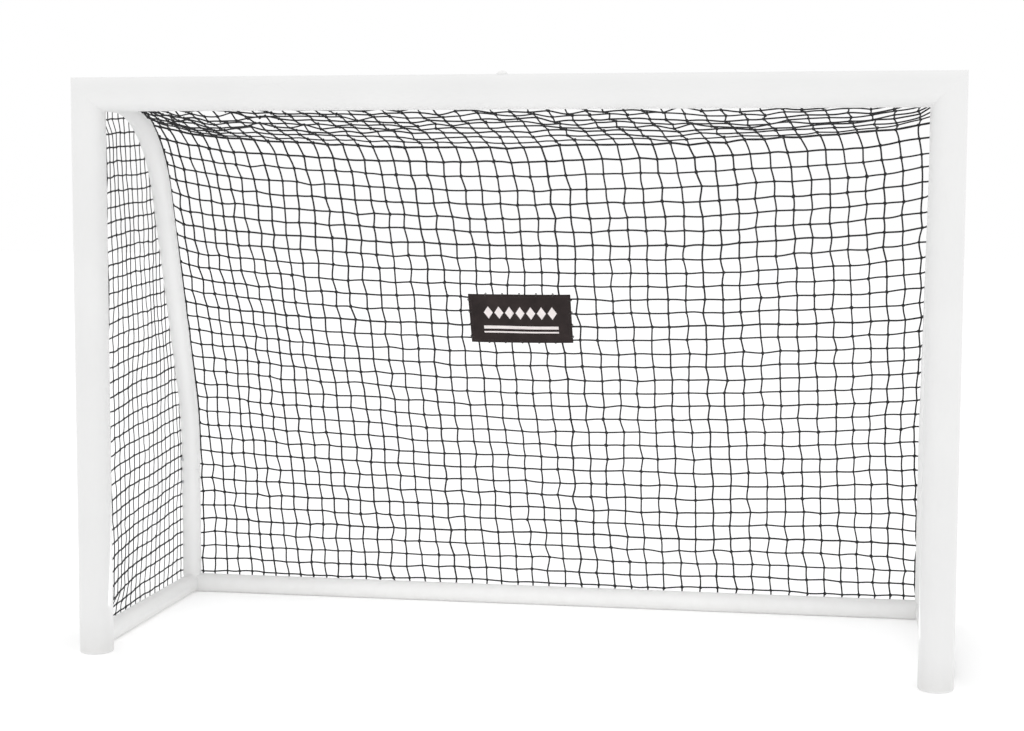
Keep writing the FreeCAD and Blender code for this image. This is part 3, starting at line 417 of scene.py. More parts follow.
def column_knots(x):
    """Knots of one column, from the crossbar over the fold and down the back."""
    out = np.zeros((ROW_COUNT, 3))
    side = min(1.0, abs(x) / BOW_X)     # 0 in the middle, 1 at the bows
    free = 1 - side ** 14               # 1 in the net's width, 0 at the bows
    bar_y, bar_z = REAR_Y + CLEARANCE * 0.93, BAR_Z + CLEARANCE * 0.36
    outline = bow_outline(cord_height(x), TIE_Y, bar_z, 5.0)
    outline_y, outline_z = outline[:, 0], outline[:, 1]
    fold_z = FOLD_MID_Z + 42.0 * side ** 2 + 16.0 * side ** 10

    # back: rows at equal steps of cord from the fold
    zs = np.linspace(fold_z, bar_z, 260)
    on_bow = np.interp(zs, outline_z[::-1], outline_y[::-1])
    down = np.clip((FOLD_MID_Z - zs) / (FOLD_MID_Z - bar_z), 0, 1)
    straight = FOLD_MID_Y + (bar_y - FOLD_MID_Y) * down
    line = np.column_stack([straight + (on_bow - straight) * bow_share(x), zs])
    along = Curve(line).along
    row_step = np.interp(-LAST_FULL_Z, -zs, along) / LAST_FULL_ROW
    # round the rear bar to the edge cord
    line = np.vstack([line, (REAR_Y + CLEARANCE, BAR_Z),
                      (REAR_Y + CLEARANCE * 0.97, BAR_Z - CLEARANCE * 0.25), (LOW_Y, LOW_Z)])
    along = Curve(line).along
    rows = np.arange(BACK + 1)
    at = rows * row_step
    at[BACK - 1] = 0.5 * (at[BACK - 2] + along[-1])
    at[BACK] = along[-1]
    back = out[ROOF:]
    back[:, 1] = np.interp(at, along, line[:, 0])
    back[:, 2] = np.interp(at, along, line[:, 1])

    # the upper rows lean a little to the left, towards where the roof is tied
    lean = 16.0 * free
    back[:, 0] = x - lean * np.exp(-rows / 1.6)
    # the whole back hangs askew: an even slant, more of it on the right ...
    down = np.minimum(1.0, rows / LAST_FULL_ROW)
    to_right = 1.0 / (1.0 + math.exp(-x / 160.0))
    far_right = clamp01((x - 250.0) / 400.0)
    skew = -9.0 + 20.0 * down + 10.0 * to_right * np.minimum(1.0, down / 0.5)
    skew += far_right * (10.0 * np.minimum(1.0, down / 0.3)
                         + 10.0 * np.maximum(0.0, down - 0.7) / 0.3)
    # ... a bow to the left in the middle, and a pull to the right beside the left bow
    skew -= 8.5 * np.sin(math.pi * down) * math.exp(-((x - 20.0) / 400.0) ** 2)
    back[:, 0] += skew * free + 6.0 * down ** 0.5 * math.exp(-((x + 770.0) / 90.0) ** 2)
    # its rows ride up in the middle and sit lower beside the bows
    rise = 4.0 * np.sin(math.pi * down) * (1 - side ** 4)
    soft = np.clip(np.minimum(rows * 0.5, (BACK - 2 - rows) * 0.3), 0, 1)
    back[:, 2] += rise - (13.0 + 7.0 * to_right) * side ** 7 * soft

    # roof: tied along the crossbar, gathered, and lying over the bows at its ends
    fold_y, fold_z = back[0, 1], back[0, 2]
    t = np.arange(ROOF) / ROOF
    y = TIE_Y + (fold_y - TIE_Y) * t
    z = TIE_Z + (fold_z - TIE_Z) * t ** 1.12
    to_rear = outline_y.argmax() + 1
    bow_z = np.interp(y, outline_y[:to_rear], outline_z[:to_rear])
    gather = 72.0 * (1 - side ** 4)
    out[:ROOF, 0] = x - (lean + 9.0) * free - gather * (1 - t)
    out[:ROOF, 1] = y
    out[:ROOF, 2] = z + (bow_z - z) * side ** 26 * np.minimum(1.0, t * 6)
    return out


def edge_fade(count, width):
    """0 at both ends of a line of knots, rising to 1 over width knots."""
    i = np.arange(count)
    return np.minimum(1.0, np.minimum(i, count - 1 - i) / width)


def irregular_grid():
    """Knots of roof and back, (row, column, xyz), with the scatter of a hand-hung net."""
    rng = np.random.default_rng(7)
    grid = np.stack([column_knots(x) for x in COLUMN_X], axis=1)
    shape = (ROW_COUNT, COLUMN_COUNT)
    fade_x = edge_fade(COLUMN_COUNT, 2.0)[None, :]
    fade = edge_fade(ROW_COUNT, 2.5)[:, None] * fade_x
    # slow drift and per-knot scatter, in x, y and z
    for k, (slow, fast) in enumerate(((2.4, 1.5), (4.0, 0.8), (1.8, 1.1))):
        drift = slow * smooth_noise(shape, 12, rng)
        grid[:, :, k] += fade * (drift + fast * rng.standard_normal(shape))
    # alternate rows shift 1 mm to either side
    grid[:, :, 0] += fade * np.where(np.arange(ROW_COUNT) % 2 == 0, 1, -1)[:, None]
    # the gathered roof is slack: its rows ride up and down past each other
    slack = np.zeros(shape)
    slack[:ROOF + 1] = np.sin(np.arange(ROOF + 1) * math.pi / ROOF)[:, None]
    wave = 0.9 * rng.standard_normal(shape)
    wave += 1.0 * smooth_noise(shape, 2, rng)
    wave += 0.5 * smooth_noise(shape, 9, rng)
    grid[:, :, 2] += slack * fade_x * 2.4 * wave
    grid[:, :, 1] += slack * fade_x * 3.5 * smooth_noise(shape, 2, rng)
    return grid


GRID = irregular_grid()


def hanging_net(name, knots, first_row, end_row, column_grid, radius, seed):
    """Row threads first_row to end_row - 1 and the column threads through column_grid."""
    rng = np.random.default_rng(seed)
    bag = MeshBag()
    rows = GRID[first_row:end_row]
    threads = list(rows) + [column_grid[:, i] for i in range(1, COLUMN_COUNT - 1)]
    for thread in threads:
        run_thread(bag, thread, radius, 0.55, rng)
    for centre in rows.reshape(-1, 3):
        size = 1.6 * radius * (1 + 0.1 * rng.standard_normal())
        tie_knot(knots, centre, radius + 0.6, size, rng)
    return bag.build(name)


knots = MeshBag()
roof_ob = hanging_net("net_roof_cords", knots, 1, ROOF, GRID[:ROOF + 1], ROOF_CORD, 11)
back_ob = hanging_net("net_back_cords", knots, ROOF, ROW_COUNT - 1, GRID[ROOF:], BACK_CORD, 12)
knots_ob = knots.build("net_back_knots")


# ------------------------------------------------------------ side panels
CORNER_Y = -205.0               # the level lower edge ends here, and a corner cord goes on
TIE_LOW_Z, TIE_HIGH_Z = 50.0, 1125.0    # the rows between these are tied to the post cord
CORNER_GAP = 9.0                # least distance of a knot from a corner cord
COLUMN_STEP, ROW_STEP = 30.5, 31.3
SIDE_X = BOW_X + TUBE_R + 1.7
SIDE_SEAM = bow_outline(SEAM_OFF, TIE_Y, LOW_Z)


def corner_cord(points, side):
    points = Curve(points).at(np.linspace(0, 1, 24))
    points[:, 0] *= side
    return outside_tubes(points, 2.0)


def front_corner(side):
    """Lower front corner, from the edge cord up and round the ground bar to the post cord."""
    return corner_cord([
        (LOW_X, CORNER_Y, LOW_Z),
        (BOW_X + TUBE_R + 3.5, -215.0, 13.0),
        (BOW_X + TUBE_R + 3.0, -227.0, 24.0),
        (BOW_X + TUBE_R - 1.0, -240.0, 36.0),
        (BOW_X + 12.0, -253.0, 45.0),
        (POST_X, TIE_Y, TIE_LOW_Z)], side)


def top_corner(side):
    """Upper front corner, from the seam round the bow to the post cord."""
    angles = np.radians([45.0, 20.0, -5.0, -30.0, -60.0, -90.0])
    radius = TUBE_R + 2.6
    round_bow = np.column_stack([
        BOW_X + radius * np.cos(angles),
        np.linspace(TIE_Y + 12.0, TIE_Y + 3.0, len(angles)),
        BOW_TOP + radius * np.sin(angles)])
    return corner_cord(np.vstack([round_bow, (POST_X, TIE_Y, 1126.0)]), side)


def point_on(cord, axis, value, sign):
    """Point of a cord at a coordinate; sign is -1 where that coordinate falls along it."""
    return np.array([np.interp(sign * value, sign * cord[:, axis], column)
                     for column in cord.T])


def seam_z_at(y):
    """Height of the seam above y."""
    i = np.argmax(SIDE_SEAM[:, 0] > y)
    a, b = SIDE_SEAM[i - 1], SIDE_SEAM[i]
    return a[1] + (b[1] - a[1]) * ((y - a[0]) / max(b[0] - a[0], 1e-9))


def seam_y_at(z):
    """Place of the seam behind z, or None above its top."""
    i = np.argmax(SIDE_SEAM[:, 1] < z)
    if i == 0:
        return None
    a, b = SIDE_SEAM[i - 1], SIDE_SEAM[i]
    return a[0] + (b[0] - a[0]) * ((z - a[1]) / (b[1] - a[1]))


def row_z(z, y):
    """The rows climb towards the rear: z is a row's height at the rear upright."""
    to_rear = min(1.0, (y - TIE_Y - 79.0) / 470.0)
    drop = 33.0 * (1.0 - to_rear) ** 1.35
    return z - drop * min(1.0, (z - LOW_Z) / 80.0) * (1.0 - 0.2 * min(1.0, z / 1100.0))


def row_end(z):
    """Where the row meets the seam, found by repeated halving; None if it doesn't."""
    y = seam_y_at(z)
    for _ in range(12):
        following = seam_y_at(row_z(z, y if y is not None else TIE_Y + 60.0))
        if following is None:
            return None
        y = following if y is None else 0.5 * (y + following)
    return y


def side_knot(side, y, z, drift, rng):
    """A knot near (y, z), pulled inwards in mid-panel and tied to the edge at its border."""
    seam_y, seam_z = seam_y_at(z), seam_z_at(y)
    border = min(max(0.0, seam_y - y), max(0.0, seam_z - z), max(0.0, z - LOW_Z))
    loose = min(1.0, border / 60.0)
    up = clamp01((z - BAR_Z - TUBE_R - 10) / (BOW_TOP - TUBE_R - BAR_Z - TUBE_R - 20))
    along = clamp01((y - TIE_Y) / (seam_y - TIE_Y))
    dish = 16.0 * math.sin(math.pi * up) * math.sin(math.pi * along)
    x = SIDE_X - dish * loose
    # the first columns come in to the cord behind the post
    pull = max(0.0, 1.0 - (y - TIE_Y) / 270.0) ** 1.25
    pull *= clamp01((z - BAR_Z - TUBE_R - 6.0) / 25.0) * clamp01((seam_z - z - 44.0) / 30.0)
    x = x * (1 - pull) + (POST_X + 1.5) * pull
    return np.array([
        side * (x + loose * (2.0 * drift[0] + 0.5 * rng.standard_normal())),
        y + loose * (2.2 * drift[1] + 0.8 * rng.standard_normal()),
        z + loose * (1.8 * drift[2] + 0.8 * rng.standard_normal())])


def side_net(name, side, seed):
    """Side panel; side is -1 for the left and 1 for the right."""
    rng = np.random.default_rng(seed)
    ys = np.arange(TIE_Y + 24.0, SIDE_SEAM[:, 0].max() - 6.0, COLUMN_STEP)
    zs = np.arange(LOW_Z + 12.4, BOW_TOP + SEAM_OFF + 30.0, ROW_STEP)
    drift = np.stack([smooth_noise((len(zs) + 2, len(ys) + 2), 10, rng) for _ in range(3)], -1)
    lower_cord, upper_cord = front_corner(side), top_corner(side)

    places = {}
    for row, rear_z in enumerate(zs):
        end_y = row_end(rear_z)
        for column, y in enumerate(ys):
            z = row_z(rear_z, y)
            if end_y is not None and y < end_y - 7 and z < seam_z_at(y) - 7:
                places[row, column] = side_knot(side, y, z, drift[row, column], rng)
    # nothing hangs below the cord that closes the lower front corner
    for key, (_, y, z) in list(places.items()):
        before = z < TIE_LOW_Z and y < point_on(lower_cord, 2, z, 1)[1] + CORNER_GAP
        below = y < CORNER_Y and z < point_on(lower_cord, 1, y, -1)[2] + CORNER_GAP
        if before or below:
            del places[key]

    bag = MeshBag()
    ends = []
    for row, rear_z in enumerate(zs):
        knots = [places[row, i] for i in range(len(ys)) if (row, i) in places]
        if not knots:
            continue
        z = row_z(rear_z, TIE_Y)
        if TIE_LOW_Z <= z <= TIE_HIGH_Z:
            first = np.array([side * POST_X, TIE_Y, z])
        else:
            if z < TIE_LOW_Z:
                first = point_on(lower_cord, 2, z, 1)
            else:
                first = point_on(upper_cord, 2, z, -1)
            knots = [p for p in knots if p[1] > first[1] + CORNER_GAP]
        end_y = row_end(rear_z)
        last = np.array([side * SEAM_X, end_y, row_z(rear_z, end_y)])
        ends += [first, last]
        run_thread(bag, [first] + knots + [last], SIDE_ROW_CORD, 0.5, rng)
    for column, y in enumerate(ys):
        knots = [places[i, column] for i in range(len(zs)) if (i, column) in places]
        first = np.array([side * LOW_X, y, LOW_Z])
        if y < CORNER_Y:
            first = point_on(lower_cord, 1, y, -1)
            knots = [p for p in knots if p[2] > first[2] + CORNER_GAP]
        if not knots:
            continue
        last = np.array([side * SEAM_X, y, seam_z_at(y)])
        ends += [first, last]
        run_thread(bag, [first] + knots + [last], SIDE_UPRIGHT_CORD, 0.5, rng)
    for centre in places.values():
        size = 2.7 * (1 + 0.1 * rng.standard_normal())
        tie_knot(bag, centre, ROOF_CORD + 0.6, size, rng, turned=True)
    for centre in ends:
        tie_knot(bag, centre, ROOF_CORD + 0.9, 2.7, rng)
    return bag.build(name)


left_ob = side_net("net_side_left_cords", -1.0, 21)
right_ob = side_net("net_side_right_cords", 1.0, 22)


# ------------------------------------------------------------ seam cords and edge cord
def seam_cords(rng):
    """Cords along the fold and over both bows, with turns of thread round the latter."""
    bag = MeshBag()
    fold_r, bow_r = 2.1, 1.9
    bag.tube(outside_tubes(slack_line(GRID[ROOF], 6, 0.4, rng), fold_r), fold_r, 8)
    off, binding_pitch = SEAM_OFF + 0.9, 33.0
    for side in (-1.0, 1.0):
        outline = bow_outline(off, POST_Y + POST_R + 14.0, LOW_Z + 4.0, 9.0)
        cord = np.column_stack([np.full(len(outline), side * (BOW_X + off)), outline])
        cord[1:-1] += rng.normal(0, 0.25, cord[1:-1].shape)
        bag.tube(outside_tubes(cord, bow_r), bow_r, 8)
        curve = Curve(cord)
        for k in range(int(curve.length / binding_pitch)):
            t = (k * binding_pitch + 10 + rng.uniform(-2, 2)) / curve.length
            tie_knot(bag, curve.at(t), 2.3, 2.9, rng)
    return bag.build("net_seam_cords_bound")


def edge_cords(rng):
    """Cords behind the posts and crossbar, in the corners and round the lower edge."""
    bag = MeshBag()
    for side in (-1.0, 1.0):
        z = np.linspace(48, 1128, 130)
        cord = np.column_stack([np.full(len(z), side * POST_X), np.full(len(z), TIE_Y), z])
        cord[1:-1, :2] += rng.normal(0, 0.15, (len(z) - 2, 2))
        bag.tube(cord, EDGE_CORD, 8)
        bag.tube(top_corner(side), EDGE_CORD, 8)
    x = np.linspace(-842, 842, 200)
    cord = np.column_stack([x, np.full(len(x), TIE_Y), np.full(len(x), TIE_Z)])
    bag.tube(cord, EDGE_CORD, 8)
    # right half of the lower edge: x, y
    half = ((LOW_X - 6, LOW_Y), (LOW_X - 2, LOW_Y - 2), (LOW_X, LOW_Y - 6), (LOW_X, CORNER_Y))
    path = [(-x, y, LOW_Z) for x, y in half[::-1]] + [(x, y, LOW_Z) for x, y in half]
    lower = Curve(path).at(np.linspace(0, 1, 420))
    cord = np.vstack([front_corner(-1.0)[:0:-1], lower, front_corner(1.0)[1:]])
    bag.tube(cord, EDGE_CORD, 8)
    return bag.build("net_edge_cord_laid")


cord_rng = np.random.default_rng(31)
seam_ob = seam_cords(cord_rng)
edge_ob = edge_cords(cord_rng)


# ------------------------------------------------------------ badge
def back_surface_at(x, z):
    """Point of the back panel at (x, z) and its outward normal, fitted to nearby knots."""
    back = GRID[ROOF:]
    distance = (back[:, :, 0] - x) ** 2 + (back[:, :, 2] - z) ** 2
    j, i = np.unravel_index(distance.argmin(), distance.shape)
    near = back[max(j - 3, 0):j + 4, max(i - 3, 0):i + 4].reshape(-1, 3)
    terms = np.column_stack([np.ones(len(near)), near[:, 0] - x, near[:, 2] - z])
    y, slope_x, slope_z = np.linalg.lstsq(terms, near[:, 1], rcond=None)[0]
    normal = np.array([-slope_x, 1.0, -slope_z])
    return np.array([x, y, z]), normal / np.linalg.norm(normal)


low, high = span("net_badge")
BADGE_TILT = math.radians(21.2)
BADGE_W, BADGE_H = high[0] - low[0], (high[2] - low[2]) / math.cos(BADGE_TILT)
BADGE_SHEAR = 0.025
BADGE_HALF_T = 0.75             # half the cloth's thickness
BADGE_CENTRE, BADGE_NORMAL = back_surface_at((low[0] + high[0]) / 2, (low[2] + high[2]) / 2)
BADGE_RIGHT = np.cross(BADGE_NORMAL, np.array([0, 0, 1.0]))
BADGE_RIGHT /= np.linalg.norm(BADGE_RIGHT)
BADGE_UP = np.cross(BADGE_RIGHT, BADGE_NORMAL)


def badge_point(a, b, lift):
    """a (right) and b (up) in mm from the badge's middle; lift towards the goal mouth."""
    ripple = (1.5 * math.sin(a / 31.0 + 0.8) * math.cos(b / 47.0)
              + 0.8 * math.sin(b / 17.0 + a / 60.0))
    corner = 1.8 * (abs(a) / (BADGE_W / 2)) ** 6 * (abs(b) / (BADGE_H / 2)) ** 4
    p = BADGE_CENTRE + BADGE_RIGHT * (a - BADGE_SHEAR * b) + BADGE_UP * b
    return p - BADGE_NORMAL * (6.0 + lift + ripple - corner)


def badge_cloth():
    """The cloth: two skins joined round the rim, with a turned-in hem."""
    nx, nz = 112, 54
    row = nx + 1
    front, rear = [], []
    for iz in range(nz + 1):
        for ix in range(nx + 1):
            a = -BADGE_W / 2 + BADGE_W * ix / nx
            b = -BADGE_H / 2 + BADGE_H * iz / nz
            rim = min(BADGE_W / 2 - abs(a), BADGE_H / 2 - abs(b))
            hem = 0.55 if rim < 7.0 else 0.0
            groove = -0.35 if 5.6 < rim < 7.4 else 0.0
            rounding = 0.6 * max(0.0, 1 - rim / 1.6)
            front.append(badge_point(a, b, BADGE_HALF_T + hem + groove - rounding))
            rear.append(badge_point(a, b, -BADGE_HALF_T - 0.4 * (rim < 7.0) + rounding))
    n = len(front)
    faces = []
    for iz in range(nz):
        for ix in range(nx):
            k = iz * row + ix
            faces.append((k, k + 1, k + row + 1, k + row))
            faces.append((n + k, n + k + row, n + k + row + 1, n + k + 1))
    for ix in range(nx):
        k = nz * row + ix
        faces.append((ix + 1, ix, n + ix, n + ix + 1))
        faces.append((k, k + 1, n + k + 1, n + k))
    for iz in range(nz):
        k = iz * row
        faces.append((k, k + row, n + k + row, n + k))
        k += nx
        faces.append((k + row, k, n + k, n + k + row))
    mesh = bpy.data.meshes.new("net_badge_cloth")
    mesh.from_pydata([tuple(p * MM) for p in front + rear], [], faces)
    layer = mesh.uv_layers.new(name="cloth")
    corners = np.zeros(len(mesh.loops), np.int32)
    mesh.loops.foreach_get("vertex_index", corners)
    corners %= n
    uvs = np.stack([(corners % row) / nx * BADGE_W, (corners // row) / nz * BADGE_H], -1)
    layer.data.foreach_set("uv", uvs.astype(np.float32).ravel())
    mesh.polygons.foreach_set("use_smooth", np.full(len(mesh.polygons), True))
    mesh.validate()
    mesh.update()
    return link_object("net_badge_cloth", mesh)


def satin_stitch(bag, outline):
    """Fills a convex (a, b) outline with threads that run upwards, side by side."""
    pitch, height = 0.95, 0.55
    outline = np.array(outline, float)
    right_end = outline[:, 0].max()
    a = outline[:, 0].min() + 0.45
    while a < right_end:
        hits = []
        for p, q in zip(outline, np.roll(outline, -1, axis=0)):
            if (p[0] - a) * (q[0] - a) < 0:
                t = (a - p[0]) / (q[0] - p[0])
                hits.append(p[1] + (q[1] - p[1]) * t)
        if len(hits) == 2 and max(hits) - min(hits) >= 0.8:
            start, end = sorted(hits)
            count = max(3, int((end - start) / 4.0) + 2)
            hump = np.sin(np.linspace(0.25, math.pi - 0.25, count))
            thread = [badge_point(a, b, BADGE_HALF_T + height * h)
                      for b, h in zip(np.linspace(start, end, count), hump)]
            bag.tube(thread, 0.52, 5)
        a += pitch


def badge_embroidery():
    """A row of diamonds over two plain bars."""
    bag = MeshBag()
    half_w, half_h, middle = 10.0, 15.0, 14
    for k in range(7):
        a = -72.0 + 24.0 * k
        satin_stitch(bag, [(a - half_w, middle), (a, middle + half_h),
                           (a + half_w, middle), (a, middle - half_h)])
    for top, bottom in ((-18, -25), (-31, -34.5)):
        satin_stitch(bag, [(-84, top), (84, top), (84, bottom), (-84, bottom)])
    return bag.build("net_badge_embroidery")


def badge_stitches():
    """Running stitch along the hem, and thread loops that tie the badge to the net."""
    bag = MeshBag()
    half_w, half_h = BADGE_W / 2, BADGE_H / 2
    inset, stitch, pitch = 6.4, 3.1, 4.2
    a, b = half_w - inset, half_h - inset
    hem = Curve([(-a, -b), (a, -b), (a, b), (-a, b), (-a, -b)])
    start = 0.0
    while start < hem.length - 3:
        places = hem.at(np.linspace(start, start + stitch, 4) / hem.length)
        lifts = (0.35, 0.95, 0.95, 0.35)
        bag.tube([badge_point(p[0], p[1], lift) for p, lift in zip(places, lifts)], 0.38, 5)
        start += pitch

    ties = [(a, b) for a in (-half_w + 4, half_w - 4) for b in (-44, -15, 15, 44)]
    ties += [(a, b) for b in (half_h - 4, -half_h + 4) for a in (-75, -38, 0, 38, 75)]
    for a, b in ties:
        out_a = math.copysign(1, a) if abs(a) > half_w - 6 else 0
        out_b = math.copysign(1, b) if abs(b) > half_h - 6 else 0
        for shift in (-1.2, 0.0, 1.2):
            loop = []
            for angle in np.linspace(0, 2 * math.pi, 15):
                reach = 4.2 * math.cos(angle) + 2.0
                loop.append(badge_point(a + out_a * reach + (shift if out_b else 0),
                                        b + out_b * reach + (shift if out_a else 0),
                                        4.4 * math.sin(angle) - 2.0))
            bag.tube(loop, 0.4, 5)
    return bag.build("net_badge_stitches")


badge_ob = badge_cloth()
embroidery_ob = badge_embroidery()
stitches_ob = badge_stitches()


# ------------------------------------------------------------ materials
class Shader:
    """A material with one Principled surface, and short ways to make its nodes."""

    def __init__(self, name):
        self.material = bpy.data.materials.new(name)
        self.material.use_nodes = True
        self.tree = self.material.node_tree
        self.tree.nodes.clear()
        output = self.make("ShaderNodeOutputMaterial")
        self.principled = self.make("ShaderNodeBsdfPrincipled")
        self.tree.links.new(self.principled.outputs[0], output.inputs[0])

    def feed(self, node, inputs):
        """Link or set each input, by name or index."""
        for key, value in inputs.items():
            if isinstance(value, bpy.types.NodeSocket):
                self.tree.links.new(value, node.inputs[key])
            else:
                node.inputs[key].default_value = value

    def make(self, kind, inputs={}, **settings):
        node = self.tree.nodes.new(kind)
        for key, value in settings.items():
            setattr(node, key, value)
        self.feed(node, inputs)
        return node

    def surface(self, inputs):
        self.feed(self.principled, inputs)

    def object_coords(self):
        return self.make("ShaderNodeTexCoord").outputs["Object"]

    def uv_parts(self, uv_map):
        uv = self.make("ShaderNodeUVMap", uv_map=uv_map).outputs[0]
        return self.make("ShaderNodeSeparateXYZ", {0: uv}).outputs

    def stretched(self, coords, scale):
        return self.make("ShaderNodeMapping", {"Scale": scale, "Vector": coords}).outputs[0]

    def math(self, operation, *values):
        inputs = dict(enumerate(values))
        return self.make("ShaderNodeMath", inputs, operation=operation).outputs[0]

    def add(self, a, b):
        return self.math("ADD", a, b)

    def mul(self, a, b):
        return self.math("MULTIPLY", a, b)

    def noise(self, coords, scale, detail=3.0, rough=0.5):
        return self.make("ShaderNodeTexNoise", {
            "Scale": scale, "Detail": detail, "Roughness": rough,
            "Vector": coords}).outputs["Fac"]

    def ramp(self, factor, *stops):
        """Two stops, each a position and a colour."""
        node = self.make("ShaderNodeValToRGB", {0: factor})
        for element, (position, colour) in zip(node.color_ramp.elements, stops):
            element.position = position
            element.color = (*colour, 1.0)
        return node.outputs[0]

    def mix(self, factor, a, b):
        return self.make("ShaderNodeMix", {"Factor": factor, "A": a, "B": b},
                         data_type="RGBA").outputs["Result"]

    def bump(self, height, strength, distance):
        return self.make("ShaderNodeBump", {
            "Strength": strength, "Distance": distance, "Height": height}).outputs[0]


def powder_coat():
    """Off-white paint with orange peel, dust near the ground and thin scuffs."""
    s = Shader("powder_coat")
    coords = s.object_coords()
    slow = s.noise(coords, scale=6.0, detail=4.0)
    fine = s.noise(coords, scale=520.0, detail=2.0)
    peel = s.noise(coords, scale=170.0, detail=2.0, rough=0.4)
    speck = s.noise(coords, scale=900.0, detail=1.0)
    paint = s.ramp(slow, (0.3, (0.775, 0.775, 0.772)), (0.7, (0.80, 0.80, 0.797)))
    # the lowest few centimetres are a little dusty
    height = s.make("ShaderNodeSeparateXYZ", {0: coords}).outputs["Z"]
    near_ground = s.math("MAXIMUM", s.math("SUBTRACT", 1.0, s.mul(height, 14.0)), 0.0)
    patches = s.noise(coords, scale=38.0, detail=5.0, rough=0.65)
    dust = s.mul(near_ground, s.mul(patches, 0.42))
    dusty = s.mix(dust, paint, (0.56, 0.545, 0.52, 1))
    # small scuffs: thin cell borders, kept only in some patches
    cells = s.make("ShaderNodeTexVoronoi", {
        "Scale": 9.0, "Vector": s.stretched(coords, (1.0, 1.0, 2.3))},
        feature="DISTANCE_TO_EDGE")
    line = s.math("LESS_THAN", cells.outputs["Distance"], 0.0016)
    patch = s.math("GREATER_THAN", s.noise(coords, scale=3.1, detail=2.0), 0.66)
    scuff = s.mul(s.mul(line, patch), 0.35)
    colour = s.mix(scuff, dusty, (0.6, 0.6, 0.6, 1))
    rough = s.add(0.33, s.mul(slow, 0.12))
    rough = s.add(rough, s.mul(speck, 0.05))
    rough = s.add(rough, s.mul(dust, 0.5))
    relief = s.add(s.mul(peel, 0.7), s.mul(fine, 0.3))
    s.surface({
        "Base Color": colour,
        "Roughness": rough,
        "Normal": s.bump(relief, strength=0.22, distance=0.00025),
        "Specular IOR Level": 0.45,
        "Coat Weight": 0.12,
        "Coat Roughness": 0.25})
    return s.material


def plastic(name, dark, light, rough, grain_scale=420.0, strength=0.3):
    s = Shader(name)
    coords = s.object_coords()
    slow = s.noise(coords, scale=22.0, detail=4.0)
    grain = s.noise(coords, scale=grain_scale, detail=3.0, rough=0.6)
    s.surface({
        "Base Color": s.ramp(slow, (0.25, dark), (0.75, light)),
        "Roughness": s.add(rough, s.mul(grain, 0.16)),
        "Normal": s.bump(grain, strength=strength, distance=0.0003),
        "Subsurface Weight": 0.03,
        "Subsurface Radius": (0.002, 0.002, 0.002)})
    return s.material


def steel(name, base, rough, stretch=(1, 1, 1)):
    """Metal with a fine brushed grain and faint spangles."""
    s = Shader(name)
    coords = s.object_coords()
    brush = s.noise(s.stretched(coords, stretch), scale=900.0, detail=3.0, rough=0.7)
    cells = s.make("ShaderNodeTexVoronoi", {"Scale": 260.0, "Vector": coords})
    spangle = s.mul(cells.outputs["Distance"], 0.35)
    dark = tuple(0.82 * channel for channel in base)
    s.surface({
        "Base Color": s.ramp(s.add(spangle, s.mul(brush, 0.5)), (0.2, dark), (0.75, base)),
        "Metallic": 1.0,
        "Roughness": s.add(rough, s.mul(brush, 0.2)),
        "Normal": s.bump(brush, strength=0.25, distance=0.0001)})
    return s.material


def twine(name, dark, light, pitch, strands=3.0):
    """Twisted cord: strands wind round it once per pitch (mm) of its length; its colour has
    painted shade in the grooves between strands.
    """
    s = Shader(name)
    uv = s.uv_parts("cord")
    phase = s.add(s.mul(uv[0], 2 * math.pi / pitch), s.mul(uv[1], 2 * math.pi * strands))
    wave = s.add(s.mul(s.math("SINE", phase), 0.5), 0.5)
    coords = s.object_coords()
    fibre = s.noise(coords, scale=1500.0, detail=2.0, rough=0.7)
    slow = s.noise(coords, scale=5.0, detail=3.0)
    # colour: painted shade in the grooves between strands (low wave, as in the bump), mixed
    # with the fibres' own random tone
    groove_shade_and_fibre = s.add(s.mul(wave, 0.55), s.mul(fibre, 0.45))
    colour = s.ramp(groove_shade_and_fibre, (0.2, dark), (0.85, light))
    faded = (light[0] * 1.3, light[1] * 1.3, light[2] * 1.32, 1)
    s.surface({
        "Base Color": s.mix(s.mul(slow, 0.25), colour, faded),
        "Roughness": s.add(0.62, s.mul(fibre, 0.25)),
        "Normal": s.bump(s.add(s.mul(wave, 0.8), s.mul(fibre, 0.2)),
                         strength=0.8, distance=0.0006),
        "Sheen Weight": 0.05,
        "Sheen Roughness": 0.5,
        "Specular IOR Level": 0.22})
    return s.material


def woven_cloth():
    """Dark plain weave with a 1.3 mm repeat."""
    s = Shader("badge_weave")
    uv = s.uv_parts("cloth")
    repeat = 2 * math.pi / 1.3
    wave_u = s.math("SINE", s.mul(uv[0], repeat))
    wave_v = s.math("SINE", s.mul(uv[1], repeat))
    over = s.math("GREATER_THAN", s.mul(wave_u, wave_v), 0.0)
    warp = s.math("ABSOLUTE", wave_u)
    weft = s.math("ABSOLUTE", wave_v)
    weave = s.add(s.mul(over, warp), s.mul(s.math("SUBTRACT", 1.0, over), weft))
    coords = s.object_coords()
    blotch = s.noise(coords, scale=26.0, detail=4.0, rough=0.6)
    fuzz = s.noise(coords, scale=1300.0, detail=2.0)
    s.surface({
        "Base Color": s.ramp(s.add(s.mul(blotch, 0.7), s.mul(fuzz, 0.3)),
                             (0.3, (0.012, 0.008, 0.008)), (0.75, (0.032, 0.022, 0.021))),
        "Roughness": s.add(0.6, s.mul(fuzz, 0.3)),
        "Normal": s.bump(s.add(weave, s.mul(fuzz, 0.4)), strength=0.7, distance=0.0004),
        "Sheen Weight": 0.04,
        "Specular IOR Level": 0.2})
    return s.material


def floor_paper():
    """A pale translucent sweep, lit from below as well, so that undersides stay light."""
    s = Shader("floor_paper")
    slow = s.noise(s.object_coords(), scale=3.0, detail=3.0)
    paper = s.ramp(slow, (0.3, (0.89, 0.89, 0.89)), (0.7, (0.91, 0.91, 0.91)))
    s.surface({
        "Base Color": paper,
        "Emission Color": paper,
        "Emission Strength": 0.22,
        "Roughness": 0.85,
        "Specular IOR Level": 0.1})
    return s.material


